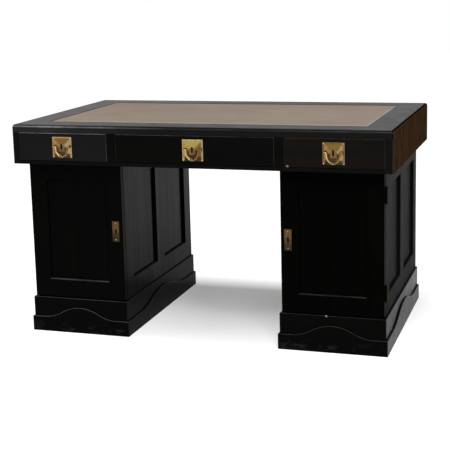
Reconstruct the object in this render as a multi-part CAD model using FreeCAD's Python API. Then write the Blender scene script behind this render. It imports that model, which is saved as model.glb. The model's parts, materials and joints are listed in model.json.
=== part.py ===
import FreeCAD, Part
import math
import os
from FreeCAD import Placement, Rotation, Vector

# A black pedestal writing desk: a top unit with three drawers on two cupboard pedestals.
# Millimetres, +Z up, the front faces -Y. The origin is on the floor, under the middle of the
# whole object's box, so the drawer pulls that stand proud of the front are counted in.

# Overall sizes
DESK_WIDTH = 1380.0
DESK_DEPTH = 820.0
DESK_HEIGHT = 780.0
TOP_UNIT_HEIGHT = 143.0

# Writing top
TOP_THICKNESS = 28.0
BORDER_WIDTH = 103.0
TOP_EDGE_RADIUS = 10.0
CORNER_RADIUS = 6.0
LEATHER_THICKNESS = 1.5
LEATHER_CLEARANCE = 0.5
TOP_PANEL_THICKNESS = 16.0
TOP_TONGUE_LENGTH = 8.0
TOP_TONGUE_THICKNESS = 6.0

# Frieze, the box that holds the drawers
FRIEZE_SIDE_THICKNESS = 26.0
FRIEZE_BACK_THICKNESS = 20.0
RAIL_HEIGHT = 13.0
RAIL_DEPTH = 60.0
DIVIDER_WIDTH = 31.0
DIVIDER_OVERHANG = 3.0
PARTITION_THICKNESS = 19.0
RUNNER_WIDTH = 40.0
GUIDE_HEIGHT = 12.0
STOP_LENGTH = 40.0
STOP_DEPTH = 24.0
STOP_HEIGHT = 7.0
STOP_INSET = 45.0

# Drawers
DRAWER_FRONT_THICKNESS = 22.0
DRAWER_FRONT_GAP = 1.0
DRAWER_EDGE_RADIUS = 2.5
DRAWER_REAR_SPACE = 100.0
DRAWER_SIDE_THICKNESS = 12.0
DRAWER_SIDE_DROP = 12.0
DRAWER_BACK_THICKNESS = 12.0
DRAWER_BACK_DROP = 6.0
DRAWER_BOTTOM_THICKNESS = 6.0
DRAWER_BOTTOM_RAISE = 10.0
DRAWER_GROOVE_DEPTH = 5.0
DRAWER_RUN_GAP = 0.3
TAIL_COUNT = 3
TAIL_LAP = 8.0
TAIL_ROOT_SHARE = 0.46
TAIL_SLOPE = 0.15

# Drawer pulls: a stamped plate with a keyhole tongue, two lugs and a drop bail
PLATE_SIZE = 75.0
PLATE_BASE = 1.6
PLATE_RIM_LEVEL = 3.0
PLATE_RIM_WIDTH = 4.5
PLATE_RIM_SLOPE = 1.0
PLATE_EDGE_CHAMFER = 0.8
FIELD_MARGIN = 1.5
FIELD_LEVEL = 6.5
TONGUE_WIDTH = 22.0
TONGUE_TOP = 11.0
TONGUE_DROP = 13.0
TONGUE_LEVEL = 7.6
PIVOT_LEVEL = 9.0
PIVOT_RAISE = 3.0
PIVOT_CLEARANCE = 0.05
LUG_RADIUS = 4.0
LUG_LENGTH = 6.0
LUG_GAP = 0.3
BAIL_HALF_WIDTH = 23.0
BAIL_DROP = 38.0
BAIL_BOTTOM_RADIUS = 14.0
BAIL_ROD_RADIUS = 2.3
BAIL_BEND_RADIUS = 3.5
ROD_SIDES = 8

# Keyholes and locks
KEYHOLE_RADIUS = 3.2
KEYHOLE_SLOT = 3.6
KEYHOLE_DROP = 11.0
DRAWER_KEYHOLE_RAISE = 4.0
LOCK_DEPTH = 12.0
LOCK_CLEARANCE = 0.3
DRAWER_LOCK_WIDTH = 56.0
DRAWER_LOCK_DROP = 20.0
DRAWER_BOLT_WIDTH = 22.0
BOLT_THICKNESS = 5.0
BOLT_LENGTH = 26.0
BOLT_TRAVEL = 7.0
MORTISE_CLEARANCE = 1.0
DOOR_LOCK_WIDTH = 42.0
DOOR_LOCK_HEIGHT = 64.0
DOOR_LOCK_SWING_ROOM = 2.0
DOOR_BOLT_HEIGHT = 18.0

# Pedestals
PEDESTAL_WIDTH = 361.0
SIDE_OVERHANG = 36.0
FRONT_SETBACK = 48.0
BACK_SETBACK = 52.0
FRAME_THICKNESS = 18.0
SIDE_FRONT_STILE = 67.0
SIDE_REAR_STILE = 70.0
SIDE_MULLION = 78.0
TOP_RAIL = 66.0
BOTTOM_RAIL = 70.0
BACK_STILE = 64.0
SIDE_PANEL_LIP = 2.0
PANEL_THICKNESS = 6.0
PANEL_GROOVE = 8.0
PANEL_CLEARANCE = 0.2
PANEL_BEVEL = 3.0
TENON_LENGTH = 25.0
TENON_THICKNESS = 6.0
TENON_SHOULDER = 14.0
BOARD_THICKNESS = 16.0
BOARD_HOUSING = 6.0
SHELF_THICKNESS = 16.0
SHELF_HEIGHT = 235.0
SHELF_FRONT_GAP = 24.0
SHELF_CLEARANCE = 0.5
CLEAT_SIZE = 18.0
LOCATING_BLOCK_DEPTH = 60.0
LOCATING_BLOCK_HEIGHT = 10.0
LOCATING_BLOCK_INSET = 90.0
LOCATING_BLOCK_CLEARANCE = 0.5

# Plinth and wavy skirting
PLINTH_HEIGHT = 130.0
PLINTH_PROUD = 6.0
PLINTH_EDGE_RADIUS = 3.0
SKIRTING_THICKNESS = 6.0
SKIRTING_LOW = 56.0
SKIRTING_HIGH = 96.0
SKIRTING_FLAT_FRONT = 48.0
SKIRTING_FLAT_SIDE = 120.0
SKIRTING_EDGE_BEVEL = 1.8

# Doors
DOOR_THICKNESS = 22.0
DOOR_STILE = 64.0
DOOR_PANEL_LIP = 6.0
DOOR_PANEL_BEVEL = 4.0
DOOR_GAP = 1.0
DOOR_CLEARANCE = 2.0
DOOR_EDGE_RADIUS = 2.5
ESCUTCHEON_WIDTH = 26.0
ESCUTCHEON_HEIGHT = 75.0
ESCUTCHEON_THICKNESS = 2.0
ESCUTCHEON_RIM = 2.2
ESCUTCHEON_SUNK = 0.8
ESCUTCHEON_INSET = 26.0
ESCUTCHEON_HEIGHT_ABOVE_DOOR = 258.0

# Door hinges
HINGE_HEIGHT = 60.0
HINGE_END_DISTANCE = 82.0
LEAF_THICKNESS = 1.5
LEAF_WIDTH = 14.0
KNUCKLE_RADIUS = 3.6
KNUCKLE_GAP = 0.3
KNUCKLE_STANDOFF = 0.5
HINGE_PIN_RADIUS = 1.6
HINGE_PIN_CLEARANCE = 0.05

# Places that follow from the sizes above
PULL_PROJECTION = PIVOT_LEVEL + LUG_RADIUS
LUG_START = BAIL_HALF_WIDTH + BAIL_BEND_RADIUS + LUG_GAP
PIVOT_DEPTH = LUG_LENGTH - 2 * LUG_GAP
FRONT = (PULL_PROJECTION - DESK_DEPTH) / 2
BACK = FRONT + DESK_DEPTH
HALF_WIDTH = DESK_WIDTH / 2
FRIEZE_BOTTOM = DESK_HEIGHT - TOP_UNIT_HEIGHT
TOP_UNDERSIDE = DESK_HEIGHT - TOP_THICKNESS
RAIL_TOP = FRIEZE_BOTTOM + RAIL_HEIGHT
FRIEZE_INSIDE = HALF_WIDTH - FRIEZE_SIDE_THICKNESS
BACK_INSIDE = BACK - FRIEZE_BACK_THICKNESS

PEDESTAL_OUTER = HALF_WIDTH - SIDE_OVERHANG
PEDESTAL_INNER = PEDESTAL_OUTER - PEDESTAL_WIDTH
PEDESTAL_FRONT = FRONT + FRONT_SETBACK
PEDESTAL_BACK = BACK - BACK_SETBACK
CARCASS_FRONT = PEDESTAL_FRONT + DOOR_THICKNESS + DOOR_GAP
CARCASS_DEPTH = PEDESTAL_BACK - CARCASS_FRONT
CARCASS_HEIGHT = FRIEZE_BOTTOM - PLINTH_HEIGHT
INSIDE_OUTER = PEDESTAL_OUTER - FRAME_THICKNESS
INSIDE_INNER = PEDESTAL_INNER + FRAME_THICKNESS

CENTRE_HALF = PEDESTAL_INNER - DIVIDER_OVERHANG
SIDE_OPENING_INNER = CENTRE_HALF + DIVIDER_WIDTH
DIVIDER_MIDDLE = CENTRE_HALF + DIVIDER_WIDTH / 2
SIDE_DRAWER_MIDDLE = (SIDE_OPENING_INNER + FRIEZE_INSIDE) / 2

DOOR_BOTTOM = PLINTH_HEIGHT + DOOR_CLEARANCE
DOOR_TOP = FRIEZE_BOTTOM - DOOR_CLEARANCE
DOOR_INNER = PEDESTAL_INNER + DOOR_GAP
DOOR_OUTER = PEDESTAL_OUTER - DOOR_GAP
DOOR_BACK = PEDESTAL_FRONT + DOOR_THICKNESS
ESCUTCHEON_X = DOOR_INNER + ESCUTCHEON_INSET
ESCUTCHEON_Z = DOOR_BOTTOM + ESCUTCHEON_HEIGHT_ABOVE_DOOR
HINGE_X = PEDESTAL_OUTER + KNUCKLE_RADIUS + KNUCKLE_STANDOFF
HINGE_Y = CARCASS_FRONT - DOOR_GAP / 2

ALONG_X = Vector(1, 0, 0)
ALONG_Y = Vector(0, 1, 0)
ALONG_Z = Vector(0, 0, 1)
ORIGIN = Vector(0, 0, 0)
TINY = 1e-6


# Shape helpers

def block(x0, x1, y0, y1, z0, z1):
    """A box from its lowest to its highest corner."""
    return Part.makeBox(x1 - x0, y1 - y0, z1 - z0, Vector(x0, y0, z0))


def prism(points, sweep):
    """A polygon pushed along a vector."""
    return Part.Face(Part.makePolygon(points + points[:1])).extrude(sweep)


def cylinder(radius, start, length, direction):
    return Part.makeCylinder(radius, length, start, direction)


def frustum(low, low_y, high, high_y):
    """A solid with flat sloped walls between two upright rectangles (x0, x1, z0, z1)."""
    rings = []
    for (x0, x1, z0, z1), y in ((low, low_y), (high, high_y)):
        rings.append([Vector(x0, y, z0), Vector(x1, y, z0), Vector(x1, y, z1), Vector(x0, y, z1)])
    outlines = list(rings)
    for k in range(4):
        after = (k + 1) % 4
        outlines.append([rings[0][k], rings[0][after], rings[1][after], rings[1][k]])
    faces = [Part.Face(Part.makePolygon(outline + outline[:1])) for outline in outlines]
    return Part.Solid(Part.Shell(faces))


def round_edges(shape, radius, chosen):
    """Fillets the edges whose box passes the test."""
    return shape.makeFillet(radius, [edge for edge in shape.Edges if chosen(edge.BoundBox)])


def mirrored(shape):
    """The same piece on the left of the desk."""
    return shape.mirror(ORIGIN, ALONG_X)


def turned(shape, quarter_turns, x, y, z):
    """A piece made facing -Y at the origin, turned about Z and put in its place."""
    placed = shape.copy()
    placed.Placement = Placement(Vector(x, y, z), Rotation(ALONG_Z, 90 * quarter_turns))
    return placed


def mitred_boards(x0, x1, y0, y1, width, z0, z1):
    """Four boards round a rectangle, cut at 45 degrees where they meet."""
    outer = [Vector(x0, y0, z0), Vector(x1, y0, z0), Vector(x1, y1, z0), Vector(x0, y1, z0)]
    inner = [Vector(x0 + width, y0 + width, z0), Vector(x1 - width, y0 + width, z0),
             Vector(x1 - width, y1 - width, z0), Vector(x0 + width, y1 - width, z0)]
    boards = []
    for k in range(4):
        after = (k + 1) % 4
        boards.append(prism([outer[k], outer[after], inner[after], inner[k]], ALONG_Z * (z1 - z0)))
    return boards


def keyhole(x, y, z, depth):
    """A round hole over a slot, pushed back from the face it opens in; z is its middle."""
    top = z + KEYHOLE_DROP / 2
    hole = cylinder(KEYHOLE_RADIUS, Vector(x, y, top), depth, ALONG_Y)
    low = z - KEYHOLE_DROP / 2 - KEYHOLE_RADIUS
    slot = block(x - KEYHOLE_SLOT / 2, x + KEYHOLE_SLOT / 2, y, y + depth, low, top)
    return hole.fuse(slot)


def save(node, solids):
    """Writes a node: one solid, or a group of separate ones."""
    shape = solids[0] if len(solids) == 1 else Part.makeCompound(solids)
    shape.exportStep(os.path.join("parts", node + ".step"))


def save_both(node, solids):
    """Writes a node that holds the pieces of both halves of the desk."""
    save(node, [mirrored(solid) for solid in solids] + solids)


# Frames with loose panels

def framed_panel(width, height, stiles, rails, mullion, thickness, lip, bevel):
    """Stiles, rails and any middle stile with tenons, grooved for panels; faces -Y from the origin.

    The lip is the wood left behind the panels, and a mullion of 0 leaves one wide panel.
    """
    recess = thickness - lip - PANEL_THICKNESS
    left, right = stiles
    bottom, top = rails
    stile_pieces = [block(0, left, 0, thickness, 0, height),
                    block(width - right, width, 0, thickness, 0, height)]
    rail_pieces = [block(left, width - right, 0, thickness, 0, bottom),
                   block(left, width - right, 0, thickness, height - top, height)]
    tenon_front = recess + (PANEL_THICKNESS - TENON_THICKNESS) / 2
    tenon_back = tenon_front + TENON_THICKNESS
    spans = [(0, bottom), (height - top, height)]
    for k, (low, high) in enumerate(spans):
        tenon_span = (tenon_front, tenon_back, low + TENON_SHOULDER, high - TENON_SHOULDER)
        ends = [block(left - TENON_LENGTH, left, *tenon_span),
                block(width - right, width - right + TENON_LENGTH, *tenon_span)]
        rail_pieces[k] = rail_pieces[k].fuse(ends)
        stile_pieces = [stile.cut(end) for stile, end in zip(stile_pieces, ends)]
    openings = [(left, width - right)]
    middle_pieces = []
    if mullion:
        start = (left + width - right - mullion) / 2
        openings = [(left, start), (start + mullion, width - right)]
        middle = block(start, start + mullion, 0, thickness, bottom, height - top)
        ends = [(bottom - TENON_LENGTH, bottom), (height - top, height - top + TENON_LENGTH)]
        for k, (low, high) in enumerate(ends):
            tenon = block(start + TENON_SHOULDER, start + mullion - TENON_SHOULDER,
                          tenon_front, tenon_back, low, high)
            middle = middle.fuse(tenon)
            rail_pieces[k] = rail_pieces[k].cut(tenon)
        middle_pieces.append(middle)
    members = stile_pieces + rail_pieces + middle_pieces
    panels = []
    cutters = []
    for u0, u1 in openings:
        hold = PANEL_GROOVE - PANEL_CLEARANCE
        panels.append(block(u0 - hold, u1 + hold, recess, recess + PANEL_THICKNESS,
                            bottom - hold, height - top + hold))
        cutters.append(block(u0 - PANEL_GROOVE, u1 + PANEL_GROOVE, recess - PANEL_CLEARANCE,
                             recess + PANEL_THICKNESS + PANEL_CLEARANCE,
                             bottom - PANEL_GROOVE, height - top + PANEL_GROOVE))
        cutters.append(frustum((u0 - bevel, u1 + bevel, bottom - bevel, height - top + bevel), 0,
                               (u0, u1, bottom, height - top), bevel))
    return [member.cut(cutters) for member in members], panels


# Writing top and frieze

def top_outline():
    """The whole top unit as one block with rounded corners and a rounded top edge."""
    whole = block(-HALF_WIDTH, HALF_WIDTH, FRONT, BACK, FRIEZE_BOTTOM, DESK_HEIGHT)
    whole = round_edges(whole, CORNER_RADIUS, lambda b: b.ZLength > TINY)
    return round_edges(whole, TOP_EDGE_RADIUS, lambda b: b.ZMin > DESK_HEIGHT - TINY)


def make_top(outline):
    """Mitred border, the panel it holds and the leather let in flush."""
    inner_x = HALF_WIDTH - BORDER_WIDTH
    inner_front = FRONT + BORDER_WIDTH
    inner_back = BACK - BORDER_WIDTH
    panel_top = DESK_HEIGHT - LEATHER_THICKNESS
    panel_bottom = panel_top - TOP_PANEL_THICKNESS
    tongue_low = (panel_top + panel_bottom - TOP_TONGUE_THICKNESS) / 2
    tongue_x = inner_x + TOP_TONGUE_LENGTH
    tongue = block(-tongue_x, tongue_x, inner_front - TOP_TONGUE_LENGTH, inner_back + TOP_TONGUE_LENGTH,
                   tongue_low, tongue_low + TOP_TONGUE_THICKNESS)
    panel = block(-inner_x, inner_x, inner_front, inner_back, panel_bottom, panel_top).fuse(tongue)
    boards = mitred_boards(-HALF_WIDTH, HALF_WIDTH, FRONT, BACK, BORDER_WIDTH, TOP_UNDERSIDE, DESK_HEIGHT)
    boards = [board.common(outline).cut(tongue) for board in boards]
    boards[0] = boards[0].cut([bolt_mortise(x) for x in (-SIDE_DRAWER_MIDDLE, 0, SIDE_DRAWER_MIDDLE)])
    gap = LEATHER_CLEARANCE
    leather = block(-inner_x + gap, inner_x - gap, inner_front + gap, inner_back - gap,
                    panel_top, DESK_HEIGHT)
    save("top_border", boards)
    save("top_panel", [panel])
    save("writing_leather", [leather])


def bolt_mortise(x):
    """The slot under the top's front border that a drawer's bolt shoots into."""
    half = DRAWER_BOLT_WIDTH / 2 + MORTISE_CLEARANCE
    middle = FRONT + DRAWER_FRONT_THICKNESS - LOCK_DEPTH / 2
    thick = BOLT_THICKNESS / 2 + MORTISE_CLEARANCE
    return block(x - half, x + half, middle - thick, middle + thick,
                 TOP_UNDERSIDE, TOP_UNDERSIDE + BOLT_TRAVEL + MORTISE_CLEARANCE)


def make_frieze(outline):
    """Sides, back, front rail, dividers, partitions, runners, guides and stops round the drawers."""
    right = block(FRIEZE_INSIDE, HALF_WIDTH, FRONT, BACK, FRIEZE_BOTTOM, TOP_UNDERSIDE).common(outline)
    back = block(-FRIEZE_INSIDE, FRIEZE_INSIDE, BACK_INSIDE, BACK, FRIEZE_BOTTOM, TOP_UNDERSIDE)
    rail = block(-FRIEZE_INSIDE, FRIEZE_INSIDE, FRONT, FRONT + RAIL_DEPTH, FRIEZE_BOTTOM, RAIL_TOP)
    divider = block(CENTRE_HALF, SIDE_OPENING_INNER, FRONT, FRONT + RAIL_DEPTH, RAIL_TOP, TOP_UNDERSIDE)
    half_partition = PARTITION_THICKNESS / 2
    partition = block(DIVIDER_MIDDLE - half_partition, DIVIDER_MIDDLE + half_partition,
                      FRONT + RAIL_DEPTH, BACK_INSIDE, RAIL_TOP, TOP_UNDERSIDE)
    runner_spans = [(CENTRE_HALF - RUNNER_WIDTH, DIVIDER_MIDDLE),
                    (DIVIDER_MIDDLE, SIDE_OPENING_INNER + RUNNER_WIDTH),
                    (FRIEZE_INSIDE - RUNNER_WIDTH, FRIEZE_INSIDE)]
    runners = [block(start, end, FRONT + RAIL_DEPTH, BACK_INSIDE, FRIEZE_BOTTOM, RAIL_TOP)
               for start, end in runner_spans]
    stop_front = FRONT + DRAWER_FRONT_THICKNESS
    stop_starts = [CENTRE_HALF - STOP_INSET - STOP_LENGTH, SIDE_OPENING_INNER + STOP_INSET,
                   FRIEZE_INSIDE - STOP_INSET - STOP_LENGTH]
    stops = [block(x, x + STOP_LENGTH, stop_front, stop_front + STOP_DEPTH,
                   RAIL_TOP, RAIL_TOP + STOP_HEIGHT) for x in stop_starts]
    guides = [block(start, end, FRONT + RAIL_DEPTH, BACK_INSIDE, RAIL_TOP, RAIL_TOP + GUIDE_HEIGHT)
              for start, end in [(CENTRE_HALF, DIVIDER_MIDDLE - half_partition),
                                 (DIVIDER_MIDDLE + half_partition, SIDE_OPENING_INNER)]]
    save("frieze_back", [back])
    save("front_rail", [rail])
    save_both("frieze_sides", [right])
    save_both("drawer_dividers", [divider])
    save_both("drawer_partitions", [partition])
    save_both("drawer_runners", runners)
    save_both("drawer_guides", guides)
    save_both("drawer_stops", stops)


# Drawers

def dovetails(x0, x1, shoulder, length, z0, z1):
    """Tails that widen from a board's shoulder to their tips; a negative length points forwards."""
    pitch = (z1 - z0) / TAIL_COUNT
    root = pitch * TAIL_ROOT_SHARE / 2
    tip = root + abs(length) * TAIL_SLOPE
    tails = []
    for k in range(TAIL_COUNT):
        middle = z0 + pitch * (k + 0.5)
        end = shoulder + length
        corners = [(shoulder, middle - root), (end, middle - tip),
                   (end, middle + tip), (shoulder, middle + root)]
        tails.append(prism([Vector(x0, y, z) for y, z in corners], ALONG_X * (x1 - x0)))
    return tails


def drawer_pieces(x0, x1):
    """All pieces of the drawer in the opening from x0 to x1, by the last word of their node's name."""
    middle = (x0 + x1) / 2
    left = x0 + DRAWER_FRONT_GAP
    right = x1 - DRAWER_FRONT_GAP
    front_back = FRONT + DRAWER_FRONT_THICKNESS
    front_low = RAIL_TOP + DRAWER_FRONT_GAP
    front_high = TOP_UNDERSIDE - DRAWER_FRONT_GAP
    side_low = RAIL_TOP + DRAWER_RUN_GAP
    side_high = front_high - DRAWER_SIDE_DROP
    rear = BACK_INSIDE - DRAWER_REAR_SPACE
    back_front = rear - DRAWER_BACK_THICKNESS
    bottom_low = side_low + DRAWER_BOTTOM_RAISE
    bottom_high = bottom_low + DRAWER_BOTTOM_THICKNESS
    inner_left = left + DRAWER_SIDE_THICKNESS
    inner_right = right - DRAWER_SIDE_THICKNESS
    tail_length = DRAWER_FRONT_THICKNESS - TAIL_LAP

    bottom = block(inner_left - DRAWER_GROOVE_DEPTH, inner_right + DRAWER_GROOVE_DEPTH,
                   front_back - DRAWER_GROOVE_DEPTH, rear, bottom_low, bottom_high)
    sides = []
    sockets = []
    rear_sockets = []
    for outer, inner in ((left, inner_left), (inner_right, right)):
        front_tails = dovetails(outer, inner, front_back, -tail_length, front_low, side_high)
        back_tails = dovetails(outer, inner, back_front, DRAWER_BACK_THICKNESS, bottom_high,
                               side_high - DRAWER_BACK_DROP)
        side = block(outer, inner, front_back, back_front, side_low, side_high)
        sides.append(side.fuse(front_tails + back_tails).cut(bottom))
        sockets += front_tails
        rear_sockets += back_tails
    back = block(left, right, back_front, rear, bottom_high, side_high - DRAWER_BACK_DROP).cut(rear_sockets)

    plate_z = (front_low + front_high) / 2
    lock_zone = block(middle - DRAWER_LOCK_WIDTH / 2, middle + DRAWER_LOCK_WIDTH / 2,
                      front_back - LOCK_DEPTH, front_back, plate_z - DRAWER_LOCK_DROP, front_high)
    key_z = plate_z + DRAWER_KEYHOLE_RAISE
    key_path = keyhole(middle, FRONT - PULL_PROJECTION, key_z, PULL_PROJECTION + DRAWER_FRONT_THICKNESS)
    front = block(left, right, FRONT, front_back, front_low, front_high)
    front = round_edges(front, DRAWER_EDGE_RADIUS, lambda b: b.YMax < FRONT + TINY)
    front = front.cut(sockets + [bottom, lock_zone, key_path])

    def bolt_space(room):
        """The bolt's block, with room round it and below it."""
        bolt_middle = front_back - LOCK_DEPTH / 2
        half_width = DRAWER_BOLT_WIDTH / 2 + room
        half_thick = BOLT_THICKNESS / 2 + room
        return block(middle - half_width, middle + half_width, bolt_middle - half_thick,
                     bolt_middle + half_thick, front_high - BOLT_LENGTH - room, front_high)

    key_pocket = keyhole(middle, front_back - LOCK_DEPTH, key_z, LOCK_DEPTH / 2)
    lock = lock_zone.cut([bolt_space(LOCK_CLEARANCE), key_pocket])
    plate_place = Vector(middle, 0, plate_z)
    return {"front": [front], "box": sides + [back], "bottom": [bottom], "lock": [lock],
            "bolt": [bolt_space(0)], "pull_plate": [pull_plate().translated(plate_place)],
            "bail": [bail().translated(plate_place)]}


def pull_plate():
    """A stamped square plate: raised rim, four sloped facets, a keyhole tongue and two bail lugs.

    It is made about the middle of its back, which lies on the front of the drawer.
    """
    half = PLATE_SIZE / 2
    inside = half - PLATE_RIM_WIDTH
    field = inside - FIELD_MARGIN
    rim_front = FRONT - PLATE_RIM_LEVEL
    plate = block(-half, half, rim_front, FRONT, -half, half)
    front_edges = [edge for edge in plate.Edges if edge.BoundBox.YMax < rim_front + TINY]
    plate = plate.makeChamfer(PLATE_EDGE_CHAMFER, front_edges)
    low = inside - PLATE_RIM_SLOPE
    sunk = frustum((-inside, inside, -inside, inside), rim_front,
                   (-low, low, -low, low), FRONT - PLATE_BASE)
    crown = TONGUE_WIDTH / 2 + FIELD_MARGIN
    facets = frustum((-field, field, -field, field), FRONT - PLATE_BASE,
                     (-crown, crown, -TONGUE_DROP, TONGUE_TOP), FRONT - FIELD_LEVEL)
    lugs = [bail_lug(side) for side in (-1, 1)]
    bores = [pivot_bore(side) for side in (-1, 1)]
    plate = plate.cut(sunk).fuse([facets, keyhole_tongue()] + lugs)
    key_path = keyhole(0, FRONT - PULL_PROJECTION, DRAWER_KEYHOLE_RAISE, PULL_PROJECTION)
    return plate.cut([key_path] + bores).removeSplitter()


def keyhole_tongue():
    """The flat tongue round the keyhole: square at the top, half round at the bottom."""
    half = TONGUE_WIDTH / 2
    low = half - TONGUE_DROP
    depth = TONGUE_LEVEL - PLATE_BASE
    shaft = block(-half, half, FRONT - TONGUE_LEVEL, FRONT - PLATE_BASE, low, TONGUE_TOP)
    return shaft.fuse(cylinder(half, Vector(0, FRONT - TONGUE_LEVEL, low), depth, ALONG_Y))


def bail_lug(side):
    """A lug with a bevelled nose on the plate, outside the bail's bend; side is -1 or 1."""
    axis_y = FRONT - PIVOT_LEVEL
    nose = LUG_RADIUS * math.tan(math.pi / 8)
    upper = [(FRONT - PLATE_BASE, LUG_RADIUS), (axis_y - nose, LUG_RADIUS), (axis_y - LUG_RADIUS, nose)]
    lower = [(y, -up) for y, up in reversed(upper)]
    profile = [Vector(side * LUG_START, y, PIVOT_RAISE + up) for y, up in upper + lower]
    return prism(profile, ALONG_X * side * LUG_LENGTH)


def pivot_bore(side):
    """The blind bore in a lug that the bail's end turns in."""
    mouth = Vector(side * LUG_START, FRONT - PIVOT_LEVEL, PIVOT_RAISE)
    return cylinder(BAIL_ROD_RADIUS + PIVOT_CLEARANCE, mouth, PIVOT_DEPTH, ALONG_X * side)


def bent_rod(start, along, middle, axis, degrees):
    """A rod with ROD_SIDES flats that sets off along a direction and bends about an axis at a middle."""
    across = along.cross(ALONG_Y)
    half_side = math.pi / ROD_SIDES
    corner_radius = BAIL_ROD_RADIUS / math.cos(half_side)
    corners = []
    for k in range(ROD_SIDES):
        angle = (2 * k + 1) * half_side
        sideways = across * math.cos(angle) + ALONG_Y * math.sin(angle)
        corners.append(start + sideways * corner_radius)
    return Part.Face(Part.makePolygon(corners + corners[:1])).revolve(middle, axis, degrees)


def bail():
    """A drop handle: one rod bent to a three-centred arch, its ends turned out into the lugs."""
    y = FRONT - PIVOT_LEVEL
    top = PIVOT_RAISE - BAIL_BEND_RADIUS
    a, r = BAIL_HALF_WIDTH, BAIL_BOTTOM_RADIUS
    drop = BAIL_DROP - BAIL_BEND_RADIUS - r
    arm_radius = (a * a + drop * drop - r * r) / (2 * (a - r))
    arm_turn = math.atan2(drop, arm_radius - a)
    bottom_middle = Vector(0, y, top - drop)
    to_joint = Vector(-math.cos(arm_turn), 0, -math.sin(arm_turn))
    along_joint = Vector(math.sin(arm_turn), 0, -math.cos(arm_turn))
    pieces = [bent_rod(bottom_middle + to_joint * r, along_joint, bottom_middle, -ALONG_Y,
                       180 - 2 * math.degrees(arm_turn))]
    for side in (-1, 1):
        shoulder = Vector(side * a, y, top)
        arm_middle = Vector(side * (a - arm_radius), y, top)
        bend_middle = shoulder + ALONG_X * side * BAIL_BEND_RADIUS
        pin = bend_middle + ALONG_Z * BAIL_BEND_RADIUS
        pieces.append(bent_rod(shoulder, -ALONG_Z, arm_middle, ALONG_Y * side, math.degrees(arm_turn)))
        pieces.append(bent_rod(shoulder, ALONG_Z, bend_middle, ALONG_Y * side, 90))
        pieces.append(cylinder(BAIL_ROD_RADIUS, pin, PIVOT_DEPTH, ALONG_X * side))
    return pieces[0].fuse(pieces[1:])


# Pedestals, made on the right and mirrored to the left

def locating_blocks():
    """Blocks on the right pedestal that drop between two runners and keep the top unit in place."""
    x0 = SIDE_OPENING_INNER + RUNNER_WIDTH + LOCATING_BLOCK_CLEARANCE
    x1 = FRIEZE_INSIDE - RUNNER_WIDTH - LOCATING_BLOCK_CLEARANCE
    starts = (CARCASS_FRONT + LOCATING_BLOCK_INSET,
              PEDESTAL_BACK - LOCATING_BLOCK_INSET - LOCATING_BLOCK_DEPTH)
    top = FRIEZE_BOTTOM + LOCATING_BLOCK_HEIGHT
    return [block(x0, x1, y, y + LOCATING_BLOCK_DEPTH, FRIEZE_BOTTOM, top) for y in starts]


def pedestal_boards():
    """Top and bottom boards, housed in the sides and the back."""
    reach = (INSIDE_INNER - BOARD_HOUSING, INSIDE_OUTER + BOARD_HOUSING)
    depth = (CARCASS_FRONT, PEDESTAL_BACK - FRAME_THICKNESS + BOARD_HOUSING)
    low = PLINTH_HEIGHT + DOOR_CLEARANCE
    return [block(*reach, *depth, FRIEZE_BOTTOM - BOARD_THICKNESS, FRIEZE_BOTTOM),
            block(*reach, *depth, low, low + BOARD_THICKNESS)]


def carcass_frames():
    """The two side frames and the back frame with their panels, before anything is cut into them."""
    inside_depth = PEDESTAL_WIDTH - 2 * FRAME_THICKNESS
    side = dict(height=CARCASS_HEIGHT, rails=(BOTTOM_RAIL, TOP_RAIL), mullion=SIDE_MULLION,
                thickness=FRAME_THICKNESS, lip=SIDE_PANEL_LIP, bevel=PANEL_BEVEL)
    outer, outer_panels = framed_panel(CARCASS_DEPTH, stiles=(SIDE_FRONT_STILE, SIDE_REAR_STILE), **side)
    inner, inner_panels = framed_panel(CARCASS_DEPTH, stiles=(SIDE_REAR_STILE, SIDE_FRONT_STILE), **side)
    side["mullion"] = 0
    back, back_panels = framed_panel(inside_depth, stiles=(BACK_STILE, BACK_STILE), **side)
    outer_place = (1, PEDESTAL_OUTER, CARCASS_FRONT, PLINTH_HEIGHT)
    inner_place = (-1, PEDESTAL_INNER, PEDESTAL_BACK, PLINTH_HEIGHT)
    back_place = (2, INSIDE_OUTER, PEDESTAL_BACK, PLINTH_HEIGHT)
    return {"outer": [turned(piece, *outer_place) for piece in outer],
            "inner": [turned(piece, *inner_place) for piece in inner],
            "back": [turned(piece, *back_place) for piece in back],
            "side_panels": ([turned(piece, *outer_place) for piece in outer_panels]
                            + [turned(piece, *inner_place) for piece in inner_panels]),
            "back_panels": [turned(piece, *back_place) for piece in back_panels]}


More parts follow.
